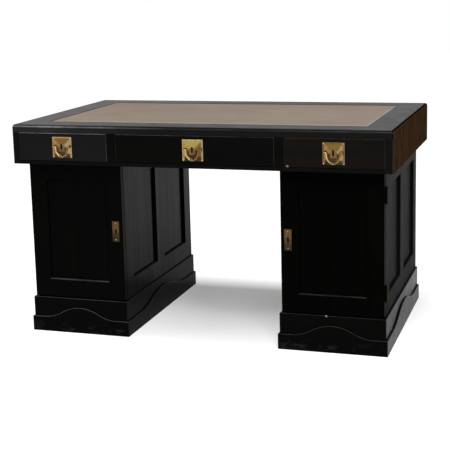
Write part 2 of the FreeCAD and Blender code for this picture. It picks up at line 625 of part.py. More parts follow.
def skirting_board(length, flat):
    """A thin mitred board with a wave on its top edge; faces -Y, its outer face on Y = 0."""
    run = length / 2 - flat
    rise = SKIRTING_HIGH - SKIRTING_LOW
    radius = (run * run + rise * rise) / (4 * rise)
    half_turn = math.atan2(rise, run)
    across = radius * math.sin(half_turn)
    lift = radius * (1 - math.cos(half_turn))
    middle = length / 2
    low, high = SKIRTING_LOW, SKIRTING_HIGH
    left_half = [(flat, low), (flat + across, low + lift), (flat + run / 2, low + rise / 2),
                 (middle - across, high - lift), (middle, high)]
    climb = [Vector(u, 0, v) for u, v in left_half]
    fall = [Vector(length - u, 0, v) for u, v in reversed(left_half)]
    ends = [Vector(0, 0, low), ORIGIN, Vector(length, 0, 0), Vector(length, 0, low)]
    edges = [Part.makeLine(ends[0], climb[0])]
    for curve in (climb, fall):
        edges.append(Part.Arc(curve[0], curve[1], curve[2]).toShape())
        edges.append(Part.Arc(curve[2], curve[3], curve[4]).toShape())
    edges.append(Part.makeLine(fall[-1], ends[3]))
    edges += [Part.makeLine(start, end) for start, end in zip(ends[:0:-1], ends[-2::-1])]
    board = Part.Face(Part.Wire(edges)).extrude(ALONG_Y * SKIRTING_THICKNESS)
    upper = [edge for edge in board.Edges
             if edge.BoundBox.YMax < TINY and edge.BoundBox.ZMin > SKIRTING_LOW - TINY]
    board = board.makeChamfer(SKIRTING_EDGE_BEVEL, upper)
    inset = SKIRTING_THICKNESS
    footprint = [ORIGIN, Vector(length, 0, 0), Vector(length - inset, inset, 0), Vector(inset, inset, 0)]
    return board.common(prism(footprint, ALONG_Z * SKIRTING_HIGH))


def plinth_pieces():
    """The plinth frame under the carcass and the wavy skirting planted on it."""
    x0 = PEDESTAL_INNER - PLINTH_PROUD
    x1 = PEDESTAL_OUTER + PLINTH_PROUD
    y0 = PEDESTAL_FRONT - PLINTH_PROUD
    y1 = PEDESTAL_BACK + PLINTH_PROUD
    width = PLINTH_PROUD + FRAME_THICKNESS
    outline = round_edges(block(x0, x1, y0, y1, 0, PLINTH_HEIGHT), PLINTH_EDGE_RADIUS,
                          lambda b: b.ZMin > PLINTH_HEIGHT - TINY)
    boards = [board.common(outline) for board in mitred_boards(x0, x1, y0, y1, width, 0, PLINTH_HEIGHT)]
    s = SKIRTING_THICKNESS
    front = skirting_board(x1 - x0 + 2 * s, SKIRTING_FLAT_FRONT)
    side = skirting_board(y1 - y0 + 2 * s, SKIRTING_FLAT_SIDE)
    skirting = [turned(front, 0, x0 - s, y0 - s, 0), turned(side, 1, x1 + s, y0 - s, 0),
                turned(front, 2, x1 + s, y1 + s, 0), turned(side, -1, x0 - s, y1 + s, 0)]
    return boards, skirting


def hinge_parts(z):
    """One lift-off hinge at height z: the fixed leaf, the door's leaf, the pin and the leaves' plates."""
    low = z - HINGE_HEIGHT / 2
    high = z + HINGE_HEIGHT / 2
    foot = Vector(HINGE_X, HINGE_Y, low)
    bore = cylinder(HINGE_PIN_RADIUS + HINGE_PIN_CLEARANCE, foot, HINGE_HEIGHT, ALONG_Z)
    leaf_inner = PEDESTAL_OUTER - LEAF_WIDTH
    fixed_back = CARCASS_FRONT + LEAF_THICKNESS
    fixed_plate = block(leaf_inner, PEDESTAL_OUTER, CARCASS_FRONT, fixed_back, low, high)
    door_plate = block(leaf_inner, DOOR_OUTER, DOOR_BACK - LEAF_THICKNESS, DOOR_BACK, low, high)

    def knuckle(bottom, top, plate_edge, y0):
        """A length of barrel and the strip that joins it to its plate."""
        barrel = cylinder(KNUCKLE_RADIUS, Vector(HINGE_X, HINGE_Y, bottom), top - bottom, ALONG_Z)
        return [barrel, block(plate_edge, HINGE_X, y0, y0 + LEAF_THICKNESS, bottom, top)]

    fixed = fixed_plate.fuse(knuckle(low, z, PEDESTAL_OUTER, CARCASS_FRONT))
    moving = door_plate.fuse(knuckle(z + KNUCKLE_GAP, high, DOOR_OUTER, DOOR_BACK - LEAF_THICKNESS))
    pin = cylinder(HINGE_PIN_RADIUS, foot, HINGE_HEIGHT, ALONG_Z)
    return {"fixed": fixed.cut(bore).removeSplitter(), "moving": moving.cut(bore).removeSplitter(),
            "pin": pin, "fixed_plate": fixed_plate, "door_plate": door_plate}


def escutcheon():
    """The door's keyhole plate: a sunk field inside a thin raised rim."""
    half_width = ESCUTCHEON_WIDTH / 2
    half_height = ESCUTCHEON_HEIGHT / 2
    face = PEDESTAL_FRONT - ESCUTCHEON_THICKNESS
    plate = block(ESCUTCHEON_X - half_width, ESCUTCHEON_X + half_width, face, PEDESTAL_FRONT,
                  ESCUTCHEON_Z - half_height, ESCUTCHEON_Z + half_height)
    inner_width = half_width - ESCUTCHEON_RIM
    inner_height = half_height - ESCUTCHEON_RIM
    sunk = block(ESCUTCHEON_X - inner_width, ESCUTCHEON_X + inner_width, face, face + ESCUTCHEON_SUNK,
                 ESCUTCHEON_Z - inner_height, ESCUTCHEON_Z + inner_height)
    return plate.cut([sunk, door_keyhole()])


def door_keyhole():
    return keyhole(ESCUTCHEON_X, PEDESTAL_FRONT - ESCUTCHEON_THICKNESS, ESCUTCHEON_Z,
                   ESCUTCHEON_THICKNESS + DOOR_THICKNESS)


def door_lock_parts():
    """A lock cased on the door's back, its bolt and the slot it shoots into in the side's front stile."""
    x0 = INSIDE_INNER + DOOR_LOCK_SWING_ROOM
    half_height = DOOR_LOCK_HEIGHT / 2
    case = block(x0, x0 + DOOR_LOCK_WIDTH, DOOR_BACK, DOOR_BACK + LOCK_DEPTH,
                 ESCUTCHEON_Z - half_height, ESCUTCHEON_Z + half_height)
    middle = DOOR_BACK + LOCK_DEPTH / 2
    half_bolt = DOOR_BOLT_HEIGHT / 2
    half_thick = BOLT_THICKNESS / 2
    reach = BOLT_TRAVEL + MORTISE_CLEARANCE

    def slab(start, end, room):
        """The bolt's section between two places across the desk, with room all round."""
        return block(start, end, middle - half_thick - room, middle + half_thick + room,
                     ESCUTCHEON_Z - half_bolt - room, ESCUTCHEON_Z + half_bolt + room)

    bolt = slab(x0, x0 + BOLT_LENGTH, 0)
    channel = slab(x0, x0 + BOLT_LENGTH + LOCK_CLEARANCE, LOCK_CLEARANCE)
    mortise = slab(INSIDE_INNER - reach, INSIDE_INNER, MORTISE_CLEARANCE)
    wall = LOCK_DEPTH / 2 - half_thick - LOCK_CLEARANCE
    key_pocket = keyhole(ESCUTCHEON_X, DOOR_BACK, ESCUTCHEON_Z, wall)
    return case.cut([channel, key_pocket]), bolt, mortise


def make_door(hinges, lock):
    """The framed door, its escutcheon and its leaves of the hinges; returns nodes by their last words."""
    width = DOOR_OUTER - DOOR_INNER
    height = DOOR_TOP - DOOR_BOTTOM
    members, panels = framed_panel(width, height, stiles=(DOOR_STILE, DOOR_STILE),
                                   rails=(BOTTOM_RAIL, TOP_RAIL), mullion=0, thickness=DOOR_THICKNESS,
                                   lip=DOOR_PANEL_LIP, bevel=DOOR_PANEL_BEVEL)
    place = (0, DOOR_INNER, PEDESTAL_FRONT, DOOR_BOTTOM)
    outline = block(DOOR_INNER, DOOR_OUTER, PEDESTAL_FRONT, DOOR_BACK, DOOR_BOTTOM, DOOR_TOP)
    outline = round_edges(outline, DOOR_EDGE_RADIUS, lambda b: b.YMax < PEDESTAL_FRONT + TINY)
    cuts = [door_keyhole()] + [hinge["door_plate"] for hinge in hinges]
    frame = [turned(member, *place).common(outline).cut(cuts) for member in members]
    return {"door_frame": frame, "door_panel": [turned(panel, *place) for panel in panels],
            "door_escutcheon": [escutcheon()], "door_lock": [lock],
            "door_hinge_leaves": [hinge["moving"] for hinge in hinges]}


def make_pedestals():
    """Both cupboards with their plinths, doors, hinges, locks and shelves."""
    frames = carcass_frames()
    boards = pedestal_boards()
    hinge_heights = (DOOR_BOTTOM + HINGE_END_DISTANCE, DOOR_TOP - HINGE_END_DISTANCE)
    hinges = [hinge_parts(z) for z in hinge_heights]
    lock, bolt, bolt_slot = door_lock_parts()
    leaf_mortises = [hinge["fixed_plate"] for hinge in hinges]
    outer = [member.cut(boards + leaf_mortises) for member in frames["outer"]]
    inner = [member.cut(boards + [bolt_slot]) for member in frames["inner"]]
    back = [member.cut(boards) for member in frames["back"]]
    plinth, skirting = plinth_pieces()
    shelf_low = PLINTH_HEIGHT + SHELF_HEIGHT
    shelf_front = CARCASS_FRONT + SHELF_FRONT_GAP
    inside_back = PEDESTAL_BACK - FRAME_THICKNESS
    shelf = block(INSIDE_INNER + SHELF_CLEARANCE, INSIDE_OUTER - SHELF_CLEARANCE, shelf_front,
                  inside_back - SHELF_CLEARANCE, shelf_low, shelf_low + SHELF_THICKNESS)
    cleats = [block(x, x + CLEAT_SIZE, shelf_front, inside_back, shelf_low - CLEAT_SIZE, shelf_low)
              for x in (INSIDE_INNER, INSIDE_OUTER - CLEAT_SIZE)]
    shared = {"pedestal_boards": boards, "pedestal_back_frames": back,
              "pedestal_back_panels": frames["back_panels"],
              "pedestal_shelves": [shelf], "shelf_cleats": cleats,
              "hinge_fixed_leaves": [hinge["fixed"] for hinge in hinges],
              "hinge_pins": [hinge["pin"] for hinge in hinges],
              "locating_blocks": locating_blocks()}
    own = {"pedestal_side_frames": outer + inner, "pedestal_side_panels": frames["side_panels"],
           "plinth": plinth, "skirting": skirting, "door_bolt": [bolt]}
    own.update(make_door(hinges, lock))
    for name, solids in shared.items():
        save_both(name, solids)
    for name, solids in own.items():
        save("left_" + name, [mirrored(solid) for solid in solids])
        save("right_" + name, solids)


def main():
    os.makedirs("parts", exist_ok=True)
    outline = top_outline()
    make_top(outline)
    make_frieze(outline)
    make_pedestals()
    for name, solids in drawer_pieces(-CENTRE_HALF, CENTRE_HALF).items():
        save("centre_drawer_" + name, solids)
    for name, solids in drawer_pieces(SIDE_OPENING_INNER, FRIEZE_INSIDE).items():
        save("left_drawer_" + name, [mirrored(solid) for solid in solids])
        save("right_drawer_" + name, solids)


main()
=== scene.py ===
import json
import math

import bmesh
import bpy
from mathutils import Matrix, Vector


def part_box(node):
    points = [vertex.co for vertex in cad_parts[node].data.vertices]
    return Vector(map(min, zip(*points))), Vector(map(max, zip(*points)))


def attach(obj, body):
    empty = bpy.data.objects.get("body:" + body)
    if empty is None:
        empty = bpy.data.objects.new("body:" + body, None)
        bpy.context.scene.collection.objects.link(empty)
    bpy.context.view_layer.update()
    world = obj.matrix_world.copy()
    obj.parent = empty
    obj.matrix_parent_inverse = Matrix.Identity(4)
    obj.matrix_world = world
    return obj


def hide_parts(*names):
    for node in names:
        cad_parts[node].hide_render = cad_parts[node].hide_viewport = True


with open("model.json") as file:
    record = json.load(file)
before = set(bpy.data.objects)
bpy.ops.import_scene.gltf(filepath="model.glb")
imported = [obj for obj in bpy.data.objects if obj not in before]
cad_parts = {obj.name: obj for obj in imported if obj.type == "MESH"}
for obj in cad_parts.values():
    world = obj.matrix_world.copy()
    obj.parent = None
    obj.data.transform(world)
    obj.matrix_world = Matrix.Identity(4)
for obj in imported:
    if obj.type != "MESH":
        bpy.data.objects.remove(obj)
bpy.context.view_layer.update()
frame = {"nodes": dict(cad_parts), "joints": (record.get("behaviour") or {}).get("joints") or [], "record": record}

# Looks for a black pedestal desk with a leather top and brass drop pulls. Metres, +Z up, the front faces -Y.
# A value named SPAN is a pair: a mask is least at the first of the two and greatest at the second.

NODES = frame["nodes"]

# Camera, fitted to the desk's corners in a picture of 450 by 450 pixels, with its focus in pixels
IMAGE_SIZE = 450
CAMERA_PLACE = (1.272, -3.9745, 1.275)
CAMERA_FOCUS = 1116.7
CAMERA_YAW = math.radians(-17.97)
CAMERA_PITCH = math.radians(-10.18)
CAMERA_ROLL = math.radians(-1.43)
CAMERA_SHIFT_UP = -0.1
SENSOR_WIDTH = 36.0

# Light: soft boxes, an even fill, and the surround that polished wood and brass mirror
SOFTBOXES = {
    "key_softbox": dict(place=(0.9, -2.9, 3.3), target=(0.0, 0.0, 0.5), size=(2.4, 1.6), power=95.0),
    "overhead_softbox": dict(place=(-0.2, 0.4, 3.4), target=(0.0, 0.2, 0.0), size=(3.4, 2.2), power=16.0),
    "left_softbox": dict(place=(-2.6, -1.0, 2.4), target=(0.0, 0.0, 0.6), size=(1.2, 1.2), power=12.0),
}
AMBIENT = 0.28
SURROUND_DIM = 0.16
SURROUND_BRIGHT = 1.0
BRIGHT_SIDE = (0.30, 0.80, 0.25)
BRIGHT_SPAN = (-0.30, 0.75)
REFLECTOR_SIDE = (-0.32, -0.90, 0.31)
REFLECTOR_SPAN = (0.86, 0.97)
REFLECTOR_LEVEL = 0.75
WHITE = (1.0, 1.0, 1.0, 1.0)

# Floor, lifted to white least in the middle of the shadow and not at all under the plinths
FLOOR_SIZE = 30.0
FLOOR_DROP = 0.0005
FLOOR_COLOUR = (0.85, 0.85, 0.85, 1.0)
FLOOR_LIFT_LEAST = 0.16
FLOOR_LIFT_MOST = 0.78
FLOOR_AROUND_SPAN = (0.25, 1.0)
FLOOR_BEHIND_SPAN = (0.34, 0.50)
FLOOR_PLINTH_EDGE = 0.005
SHADOW_MIDDLE = (0.0, 0.30, 0.0)
SHADOW_STRETCH = (1.1, 1.0, 1.0)

# Colours, wear and painted edge highlights of the black wood
BLACK_STAIN = (0.0022, 0.0024, 0.0023, 1.0)
DOOR_STAIN = (0.0012, 0.0014, 0.0013, 1.0)
WARM_STAIN = (0.0046, 0.0034, 0.0025, 1.0)
DULLED_STAIN = (0.0085, 0.0085, 0.0082, 1.0)
BROWN_WOOD = (0.105, 0.052, 0.021, 1.0)
BARE_WOOD = (0.30, 0.235, 0.17, 1.0)
# Pale grey of rubbed edges, which also stands in as a painted highlight where rounds would catch the light
RUBBED_AND_HIGHLIT_EDGE = (0.400, 0.394, 0.385, 1.0)
EDGE_ROUND_SPAN = (0.985, 0.80)
EDGE_UPWARD_SPAN = (0.05, 0.45)
EDGE_FLAT_SPAN = (0.90, 0.75)
EDGE_SIDEWAYS_SPAN = (0.05, 0.45)
EDGE_LEFTWARD_SPAN = (0.2, -0.45)
EDGE_LEFTWARD_LEAST = 0.4
EDGE_FRONTAL_SPAN = (-0.15, -0.5)
EDGE_FRONTAL_LEAST = 0.3
EDGE_GAP_SPAN = (0.36, 0.60)
EDGE_GAP_LEAST = 0.45
TOP_UPWARD_SPAN = (0.05, 0.20)
TOP_LOWER_HALF_SPAN = (0.60, 0.45)
TOP_LEFTWARD_SPAN = (-0.1, -0.5)
TOP_LEFTWARD_LEAST = 0.1
TOP_FLAT_SPAN = (0.95, 0.999)
TOP_ROUGHNESS = 0.42
HAZE = (0.050, 0.047, 0.052, 1.0)
HAZE_LEFTWARD_SPAN = (-0.15, -0.55)
FADED_DARK = (0.042, 0.021, 0.010, 1.0)
FADED_LIGHT = (0.108, 0.056, 0.026, 1.0)
FADED_END_SPAN = (0.0, 0.1)
FADED_BROWN_SPAN = (0.70, 0.95)
FADED_DULL_SPAN = (0.10, 0.40)
FADED_ROUGHNESS = 0.85
POLISH_HEIGHT_SPAN = (0.13, 0.60)
POLISH_LOW = 0.5
POLISH_HIGH = 1.25
SCUFF = (0.032, 0.031, 0.029, 1.0)
SCUFF_HEIGHT = 0.045
CHIP_RADIUS = 0.005
CHIP_CORE = 0.8
DRAWER_CHIP_INSET = (0.012, 0.0, 0.002)
PLINTH_CHIP_LEFT = 0.02

# Colours of the brown wood, and its rings
CASE_LIGHT = (0.235, 0.130, 0.062, 1.0)
CASE_DARK = (0.150, 0.078, 0.036, 1.0)
CASE_FIBRE = (0.085, 0.045, 0.022, 1.0)
CASE_PATCH = (0.270, 0.165, 0.085, 1.0)
CASE_RINGS = 9.0

# Writing leather, with a painted shade line along two of its edges and a painted highlight line along the others
LEATHER_DARK = (0.258, 0.190, 0.141, 1.0)
LEATHER_LIGHT = (0.310, 0.234, 0.178, 1.0)
LEATHER_RUBBED = (0.36, 0.29, 0.235, 1.0)
LEATHER_PORE = (0.20, 0.145, 0.105, 1.0)
LEATHER_HIGHLIGHT = (0.47, 0.41, 0.35, 1.0)
LEATHER_SHADE = (0.030, 0.024, 0.020, 1.0)
LEATHER_SIDE_LINE = 0.008
LEATHER_END_LINE = 0.016
LEATHER_LINE_CORE = 0.6
LEATHER_EDGE_DROP = 0.0009
LEATHER_EDGE_ROLL = 0.004
LEATHER_WAVE = 0.00012
LEATHER_RIPPLES = ((9.0, 4.0), (-3.0, 11.0))
LEATHER_ACROSS = 150
LEATHER_DEEP = 80

# Colours of the brass and the steel, with painted light and shade on the plates, bails and keyholes
BRASS_PATINA = (0.034, 0.013, 0.003, 1.0)
KEYHOLE_SHADE_AND_GRIME = (0.004, 0.001, 0.0005, 1.0)
TONGUE_BRASS = (0.185, 0.110, 0.058, 1.0)
# Tones of each plate's top facet, side facets and rim, which stand in for the light and shade that fall on them
PLATE_LIGHT_AND_SHADE = {
    "left": dict(face=(0.30, 0.17, 0.050, 1.0), rim=(0.40, 0.29, 0.16, 1.0),
                 left=(0.44, 0.26, 0.095, 1.0), right=(0.45, 0.29, 0.14, 1.0)),
    "centre": dict(face=(0.54, 0.41, 0.115, 1.0), rim=(0.48, 0.37, 0.22, 1.0),
                   left=(0.45, 0.30, 0.10, 1.0), right=(0.20, 0.12, 0.026, 1.0)),
    "right": dict(face=(0.23, 0.14, 0.035, 1.0), rim=(0.17, 0.115, 0.06, 1.0),
                  left=(0.33, 0.20, 0.075, 1.0), right=(0.40, 0.26, 0.115, 1.0)),
}
BAIL_BRIGHT = (0.86, 0.66, 0.36, 1.0)
BAIL_DULL = (0.66, 0.47, 0.22, 1.0)
BAIL_SHADE = (0.22, 0.155, 0.085, 1.0)
ESCUTCHEON_UPPER = (0.108, 0.062, 0.026, 1.0)
ESCUTCHEON_LOWER = (0.042, 0.027, 0.016, 1.0)
PIN_BRASS = dict(bright=(0.80, 0.62, 0.36, 1.0), dull=(0.55, 0.40, 0.20, 1.0),
                 patina=(0.16, 0.08, 0.03, 1.0), roughness=0.24)
HINGE_BRASS = dict(bright=(0.026, 0.018, 0.011, 1.0), dull=(0.016, 0.011, 0.007, 1.0),
                   patina=(0.006, 0.004, 0.003, 1.0), roughness=0.5)
LOCK_STEEL = (0.105, 0.10, 0.095, 1.0)
LOCK_RUST = (0.06, 0.03, 0.016, 1.0)

# Places on a stamped plate, in shares of half its width from its middle
RIM_SPAN = (0.81, 0.86)
TONGUE_SIDE_SPAN = (0.32, 0.27)
TONGUE_HEAD_SPAN = (0.26, 0.18)
TONGUE_FOOT_SPAN = (-0.38, -0.32)
KEYHOLE_SIDE_SPAN = (0.10, 0.07)
KEYHOLE_HEAD_SPAN = (0.30, 0.27)
KEYHOLE_FOOT_SPAN = (-0.23, -0.20)
ARCH_HALF_WIDTH = 0.55
ARCH_DEPTH = 0.88
ARCH_SPAN = (1.0, 0.7)
ARCH_HEAD_SPAN = (0.12, -0.08)
CORNER_INNER_SPAN = (0.36, 0.48)
CORNER_OUTER_SPAN = (0.84, 0.76)
CORNER_HEAD_SPAN = (-0.52, -0.66)
FOOT_HEAD_SPAN = (-0.80, -0.86)
FOOT_SIDE_SPAN = (0.90, 0.80)

# Places on an escutcheon, from its middle, and on a bail, in shares of its box
ESCUTCHEON_LOWER_SPAN = (0.012, -0.020)
ESCUTCHEON_KEYHOLE_SIDE_SPAN = (0.0034, 0.0026)
ESCUTCHEON_KEYHOLE_END_SPAN = (0.0083, 0.0075)
BAIL_RIGHT_SPAN = (0.3, 0.7)
BAIL_FOOT_SPAN = (0.30, 0.12)

# Nail heads
PLATE_RIM_LEVEL = 0.003
PLATE_PIN_INSET = 0.0042
ESCUTCHEON_PIN_INSET = 0.0075
PIN_RADIUS = 0.0019
PIN_HEIGHT = 0.0010
PIN_SIDES = 14
PIN_RINGS = 4

# Drop bails
BAIL_HALF_WIDTH = 0.023
BAIL_DROP = 0.038
BAIL_BOTTOM_RADIUS = 0.014
BAIL_BEND_RADIUS = 0.0035
BAIL_ROD_RADIUS = 0.0023
BAIL_PIN_LENGTH = 0.0054
BAIL_SIDES = 16
BAIL_SHORT_ARC_STEPS = 8
BAIL_LONG_ARC_STEPS = 12
BEAD_RADIUS = 0.0026
BEAD_LIFT = 0.7
BEAD_SIDES = 16
BEAD_RINGS = 10


# Small tools

class Graph:
    """Builds a node tree: add() makes a node, sets its options and fills or links its inputs."""

    def __init__(self, tree):
        self.tree = tree
        tree.nodes.clear()

    def add(self, kind, inputs=None, **options):
        node = self.tree.nodes.new(kind)
        for name, value in options.items():
            setattr(node, name, value)
        for name, value in (inputs or {}).items():
            if isinstance(value, bpy.types.NodeSocket):
                self.tree.links.new(value, node.inputs[name])
            else:
                node.inputs[name].default_value = value
        return node

    def math(self, operation, first, second=0.0):
        return self.add("ShaderNodeMath", {0: first, 1: second}, operation=operation).outputs[0]

    def size(self, value):
        return self.math("ABSOLUTE", value)

    def both(self, first, second):
        """The share where two masks meet."""
        return self.math("MULTIPLY", first, second)

    def either(self, first, second):
        """The greater of two masks."""
        return self.math("MAXIMUM", first, second)

    def span(self, value, low, high, to_low=0.0, to_high=1.0):
        """A value taken from one span to another, held at both ends."""
        node = self.add("ShaderNodeMapRange", {"Value": value, "From Min": low, "From Max": high,
                                               "To Min": to_low, "To Max": to_high})
        return node.outputs["Result"]

    def mix(self, share, first, second):
        """Two colours mixed by a share from 0 to 1."""
        return self.add("ShaderNodeMix", {0: share, 6: first, 7: second}, data_type="RGBA").outputs[2]

    def fade(self, share, first, second):
        """Two numbers mixed by a share from 0 to 1."""
        return self.add("ShaderNodeMix", {0: share, 2: first, 3: second}).outputs[0]

    def measure(self, operation, first, second):
        """One number from two vectors, such as a distance."""
        node = self.add("ShaderNodeVectorMath", {0: first, 1: second}, operation=operation)
        return node.outputs["Value"]

    def coordinate(self, kind):
        """A coordinate: the surface's own Normal, Object for its place in the desk's frame, or Generated."""
        return self.add("ShaderNodeTexCoord").outputs[kind]

    def parts(self, kind):
        """The x, y and z of a coordinate."""
        return self.add("ShaderNodeSeparateXYZ", {0: self.coordinate(kind)}).outputs

    def place(self, scale):
        """The surface's place in the desk's frame, stretched by a scale along each axis."""
        mapping = self.add("ShaderNodeMapping", {"Vector": self.coordinate("Object"), "Scale": scale})
        return mapping.outputs["Vector"]

    def noise(self, scale, detail=4.0, roughness=0.55, distortion=0.0):
        node = self.add("ShaderNodeTexNoise", {"Vector": self.place(scale), "Scale": 1.0, "Detail": detail,
                                               "Roughness": roughness, "Distortion": distortion})
        return node.outputs["Fac"]

    def cells(self, scale):
        """Rounded cells, by the distance from their middles."""
        node = self.add("ShaderNodeTexVoronoi", {"Vector": self.place(scale), "Scale": 1.0},
                        feature="SMOOTH_F1")
        return node.outputs["Distance"]

    def bump(self, height, strength, distance, normal=None):
        inputs = {"Height": height, "Strength": strength, "Distance": distance}
        if normal:
            inputs["Normal"] = normal
        return self.add("ShaderNodeBump", inputs).outputs["Normal"]

    def rounded(self, low, high):
        """1 on rounds and bevels, whose own normal lies along none of the axes, and 0 on flat faces."""
        x, y, z = (self.size(part) for part in self.parts("Normal"))
        return self.span(self.either(self.either(x, y), z), low, high)

    def hollows(self, distance):
        """Near 1 deep in corners and hollows, near 0 in the open."""
        shade = self.add("ShaderNodeAmbientOcclusion", {"Distance": distance}, samples=8)
        return self.math("SUBTRACT", 1.0, shade.outputs["AO"])

    def surface(self, **inputs):
        """The finished shader, with its sockets named in words joined by underscores."""
        named = {name.replace("_", " "): value for name, value in inputs.items()}
        shader = self.add("ShaderNodeBsdfPrincipled", named)
        self.add("ShaderNodeOutputMaterial", {"Surface": shader.outputs["BSDF"]})


def material(name):
    """An empty material and the graph that builds it."""
    made = bpy.data.materials.new(name)
    made.use_nodes = True
    return made, Graph(made.node_tree)


def even(scale):
    """A noise scale that is the same along all axes."""
    return (scale, scale, scale)


def along(axis, fine, long):
    """A noise scale that is fine across the grain and long along one axis: x, y or z."""
    return tuple(long if name == axis else fine for name in "xyz")


# Black wood

def show_through(graph, streaks):
    """Where the wood's brown shows through its stain: in streaks, more in some patches than in others."""
    patches = graph.noise(even(3.1), detail=3.0)
    return graph.both(graph.span(streaks, 0.40, 0.75), graph.span(patches, 0.35, 0.7, 0.25, 1.0))


def haze(graph, smears):
    """The hazy left end of the tabletop, fainter on its edges."""
    left_end = graph.span(graph.parts("Object")[0], *HAZE_LEFTWARD_SPAN)
    upward = graph.span(graph.parts("Normal")[2], 0.0, 1.0, 0.4, 1.0)
    return graph.both(graph.both(left_end, upward), graph.span(smears, 0.3, 0.7, 0.6, 1.0))


def right_hand(graph, facing_span):
    """What turns to the right at the desk's right end."""
    right_end = graph.span(graph.parts("Object")[0], *FADED_END_SPAN)
    return graph.both(right_end, graph.span(graph.parts("Normal")[0], *facing_span))


def faded_brown(graph, smears):
    """Wood that has lost its black: upright bars of brown, with some stain left in smears."""
    bars = graph.noise((30.0, 26.0, 2.5), detail=6.0, roughness=0.7, distortion=0.5)
    brown = graph.mix(graph.span(bars, 0.30, 0.70), FADED_DARK, FADED_LIGHT)
    return graph.mix(graph.span(smears, 0.45, 0.75, 0.0, 0.6), brown, WARM_STAIN)


def rubbed_and_highlit_edges(graph, smears, rub_and_highlight, upright, tabletop):
    """Where rounds are rubbed grey, with gaps, and carry a painted highlight: those that face up, and a share of
    the upright ones.

    On the tabletop only the lower half of its large round is rubbed and painted with a highlight line. The wear
    and the painted highlight are strongest in front and grow towards the desk's left.
    """
    sideways, back, up = graph.parts("Normal")
    place = graph.parts("Object")
    if tabletop:
        edge = graph.both(graph.span(up, *TOP_UPWARD_SPAN), graph.span(up, *TOP_LOWER_HALF_SPAN))
        leftward = graph.span(place[0], *TOP_LEFTWARD_SPAN, TOP_LEFTWARD_LEAST, 1.0)
    else:
        upward = graph.both(graph.span(up, *EDGE_UPWARD_SPAN), graph.span(up, *EDGE_FLAT_SPAN))
        facing = graph.either(upward, graph.span(graph.size(sideways), *EDGE_SIDEWAYS_SPAN, 0.0, upright))
        edge = graph.both(graph.rounded(*EDGE_ROUND_SPAN), facing)
        leftward = graph.span(place[0], *EDGE_LEFTWARD_SPAN, EDGE_LEFTWARD_LEAST, 1.0)
    frontal = graph.span(back, *EDGE_FRONTAL_SPAN, EDGE_FRONTAL_LEAST, 1.0)
    worn_and_highlit = graph.both(edge, graph.both(frontal, leftward))
    return graph.both(worn_and_highlit, graph.span(smears, *EDGE_GAP_SPAN, EDGE_GAP_LEAST * rub_and_highlight, rub_and_highlight))


def scuffs(graph):
    """Smudges low on the plinths, where shoes and brooms reach."""
    smudge = graph.noise((26.0, 26.0, 60.0), detail=6.0, roughness=0.7)
    low = graph.span(graph.parts("Object")[2], SCUFF_HEIGHT, 0.0)
    return graph.both(low, graph.span(smudge, 0.52, 0.68))


def chipped(graph, middle):
    """A small ragged spot about a place."""
    away = graph.measure("DISTANCE", graph.coordinate("Object"), middle)
    ragged = graph.span(graph.noise(even(260.0)), 0.3, 0.7, -CHIP_RADIUS / 2, CHIP_RADIUS / 2)
    return graph.span(graph.math("ADD", away, ragged), CHIP_RADIUS, CHIP_CORE * CHIP_RADIUS)


def wood_relief(graph, grain, streaks):
    """Slow waves under the polish, ribs along the grain and the grain itself."""
    wavy = graph.bump(graph.noise(even(4.0), detail=1.0), strength=0.10, distance=0.003)
    ribbed = graph.bump(streaks, strength=0.06, distance=0.001, normal=wavy)
    return graph.bump(grain, strength=0.05, distance=0.0003, normal=ribbed)


def ebonised_wood(name, grain_axis, roughness, specular, stain=BLACK_STAIN, brown=0.02, rub_and_highlight=0.6,
                  upright=0.0, tabletop=False, faded=False, streaky=False, chip=None):
    """Black-stained wood under an old polish: grain, brown show-through, rubbed edges with a painted highlight,
    and scuffs.

    A tabletop is duller on its flat top and hazy at its left end. With faded, the desk's right-hand faces
    have lost their black and their polish. With streaky, the polish is uneven along the grain and fades
    towards the floor. A chip is the place of one bare spot.
    """
    made, graph = material(name)
    grain = graph.noise(along(grain_axis, 300.0, 6.0), detail=5.0, roughness=0.6, distortion=0.3)
    streaks = graph.noise(along(grain_axis, 40.0, 1.5), detail=3.0)
    smears = graph.noise(even(16.0), detail=5.0, roughness=0.65)
    nicks = graph.noise(even(110.0), detail=3.0, roughness=0.7)
    colour = graph.mix(graph.both(show_through(graph, streaks), brown), stain, BROWN_WOOD)
    shine = graph.span(smears, 0.3, 0.75, roughness - 0.03, roughness + 0.05)
    shine = graph.math("ADD", shine, graph.span(streaks, 0.3, 0.7, -0.03, 0.03))
    if tabletop:
        duller = graph.span(graph.parts("Normal")[2], *TOP_FLAT_SPAN, 0.0, TOP_ROUGHNESS - roughness)
        shine = graph.math("ADD", shine, duller)
        colour = graph.mix(haze(graph, smears), colour, HAZE)
    if faded:
        dull = right_hand(graph, FADED_DULL_SPAN)
        shine = graph.math("MAXIMUM", shine, graph.both(dull, FADED_ROUGHNESS))
        specular = graph.span(dull, 0.0, 1.0, specular, 0.0)
        colour = graph.mix(right_hand(graph, FADED_BROWN_SPAN), colour, faded_brown(graph, smears))
    if streaky:
        polish = graph.span(graph.parts("Object")[2], *POLISH_HEIGHT_SPAN,
                            POLISH_LOW * specular, POLISH_HIGH * specular)
        specular = graph.both(polish, graph.span(streaks, 0.3, 0.7, 0.75, 1.25))
    # Painted highlight and wear: rounds facing up and forward, more towards the desk's left, are mixed towards a
    # pale grey
    edge = rubbed_and_highlit_edges(graph, smears, rub_and_highlight, upright, tabletop)
    colour = graph.mix(edge, colour, RUBBED_AND_HIGHLIT_EDGE)
    colour = graph.mix(graph.both(edge, graph.span(nicks, 0.69, 0.74)), colour, BARE_WOOD)
    colour = graph.mix(scuffs(graph), colour, SCUFF)
    if chip:
        colour = graph.mix(chipped(graph, chip), colour, BARE_WOOD)
    normal = wood_relief(graph, grain, streaks)
    graph.surface(Base_Color=colour, Roughness=shine, Normal=normal, Specular_IOR_Level=specular)
    return made


# Brown wood and leather

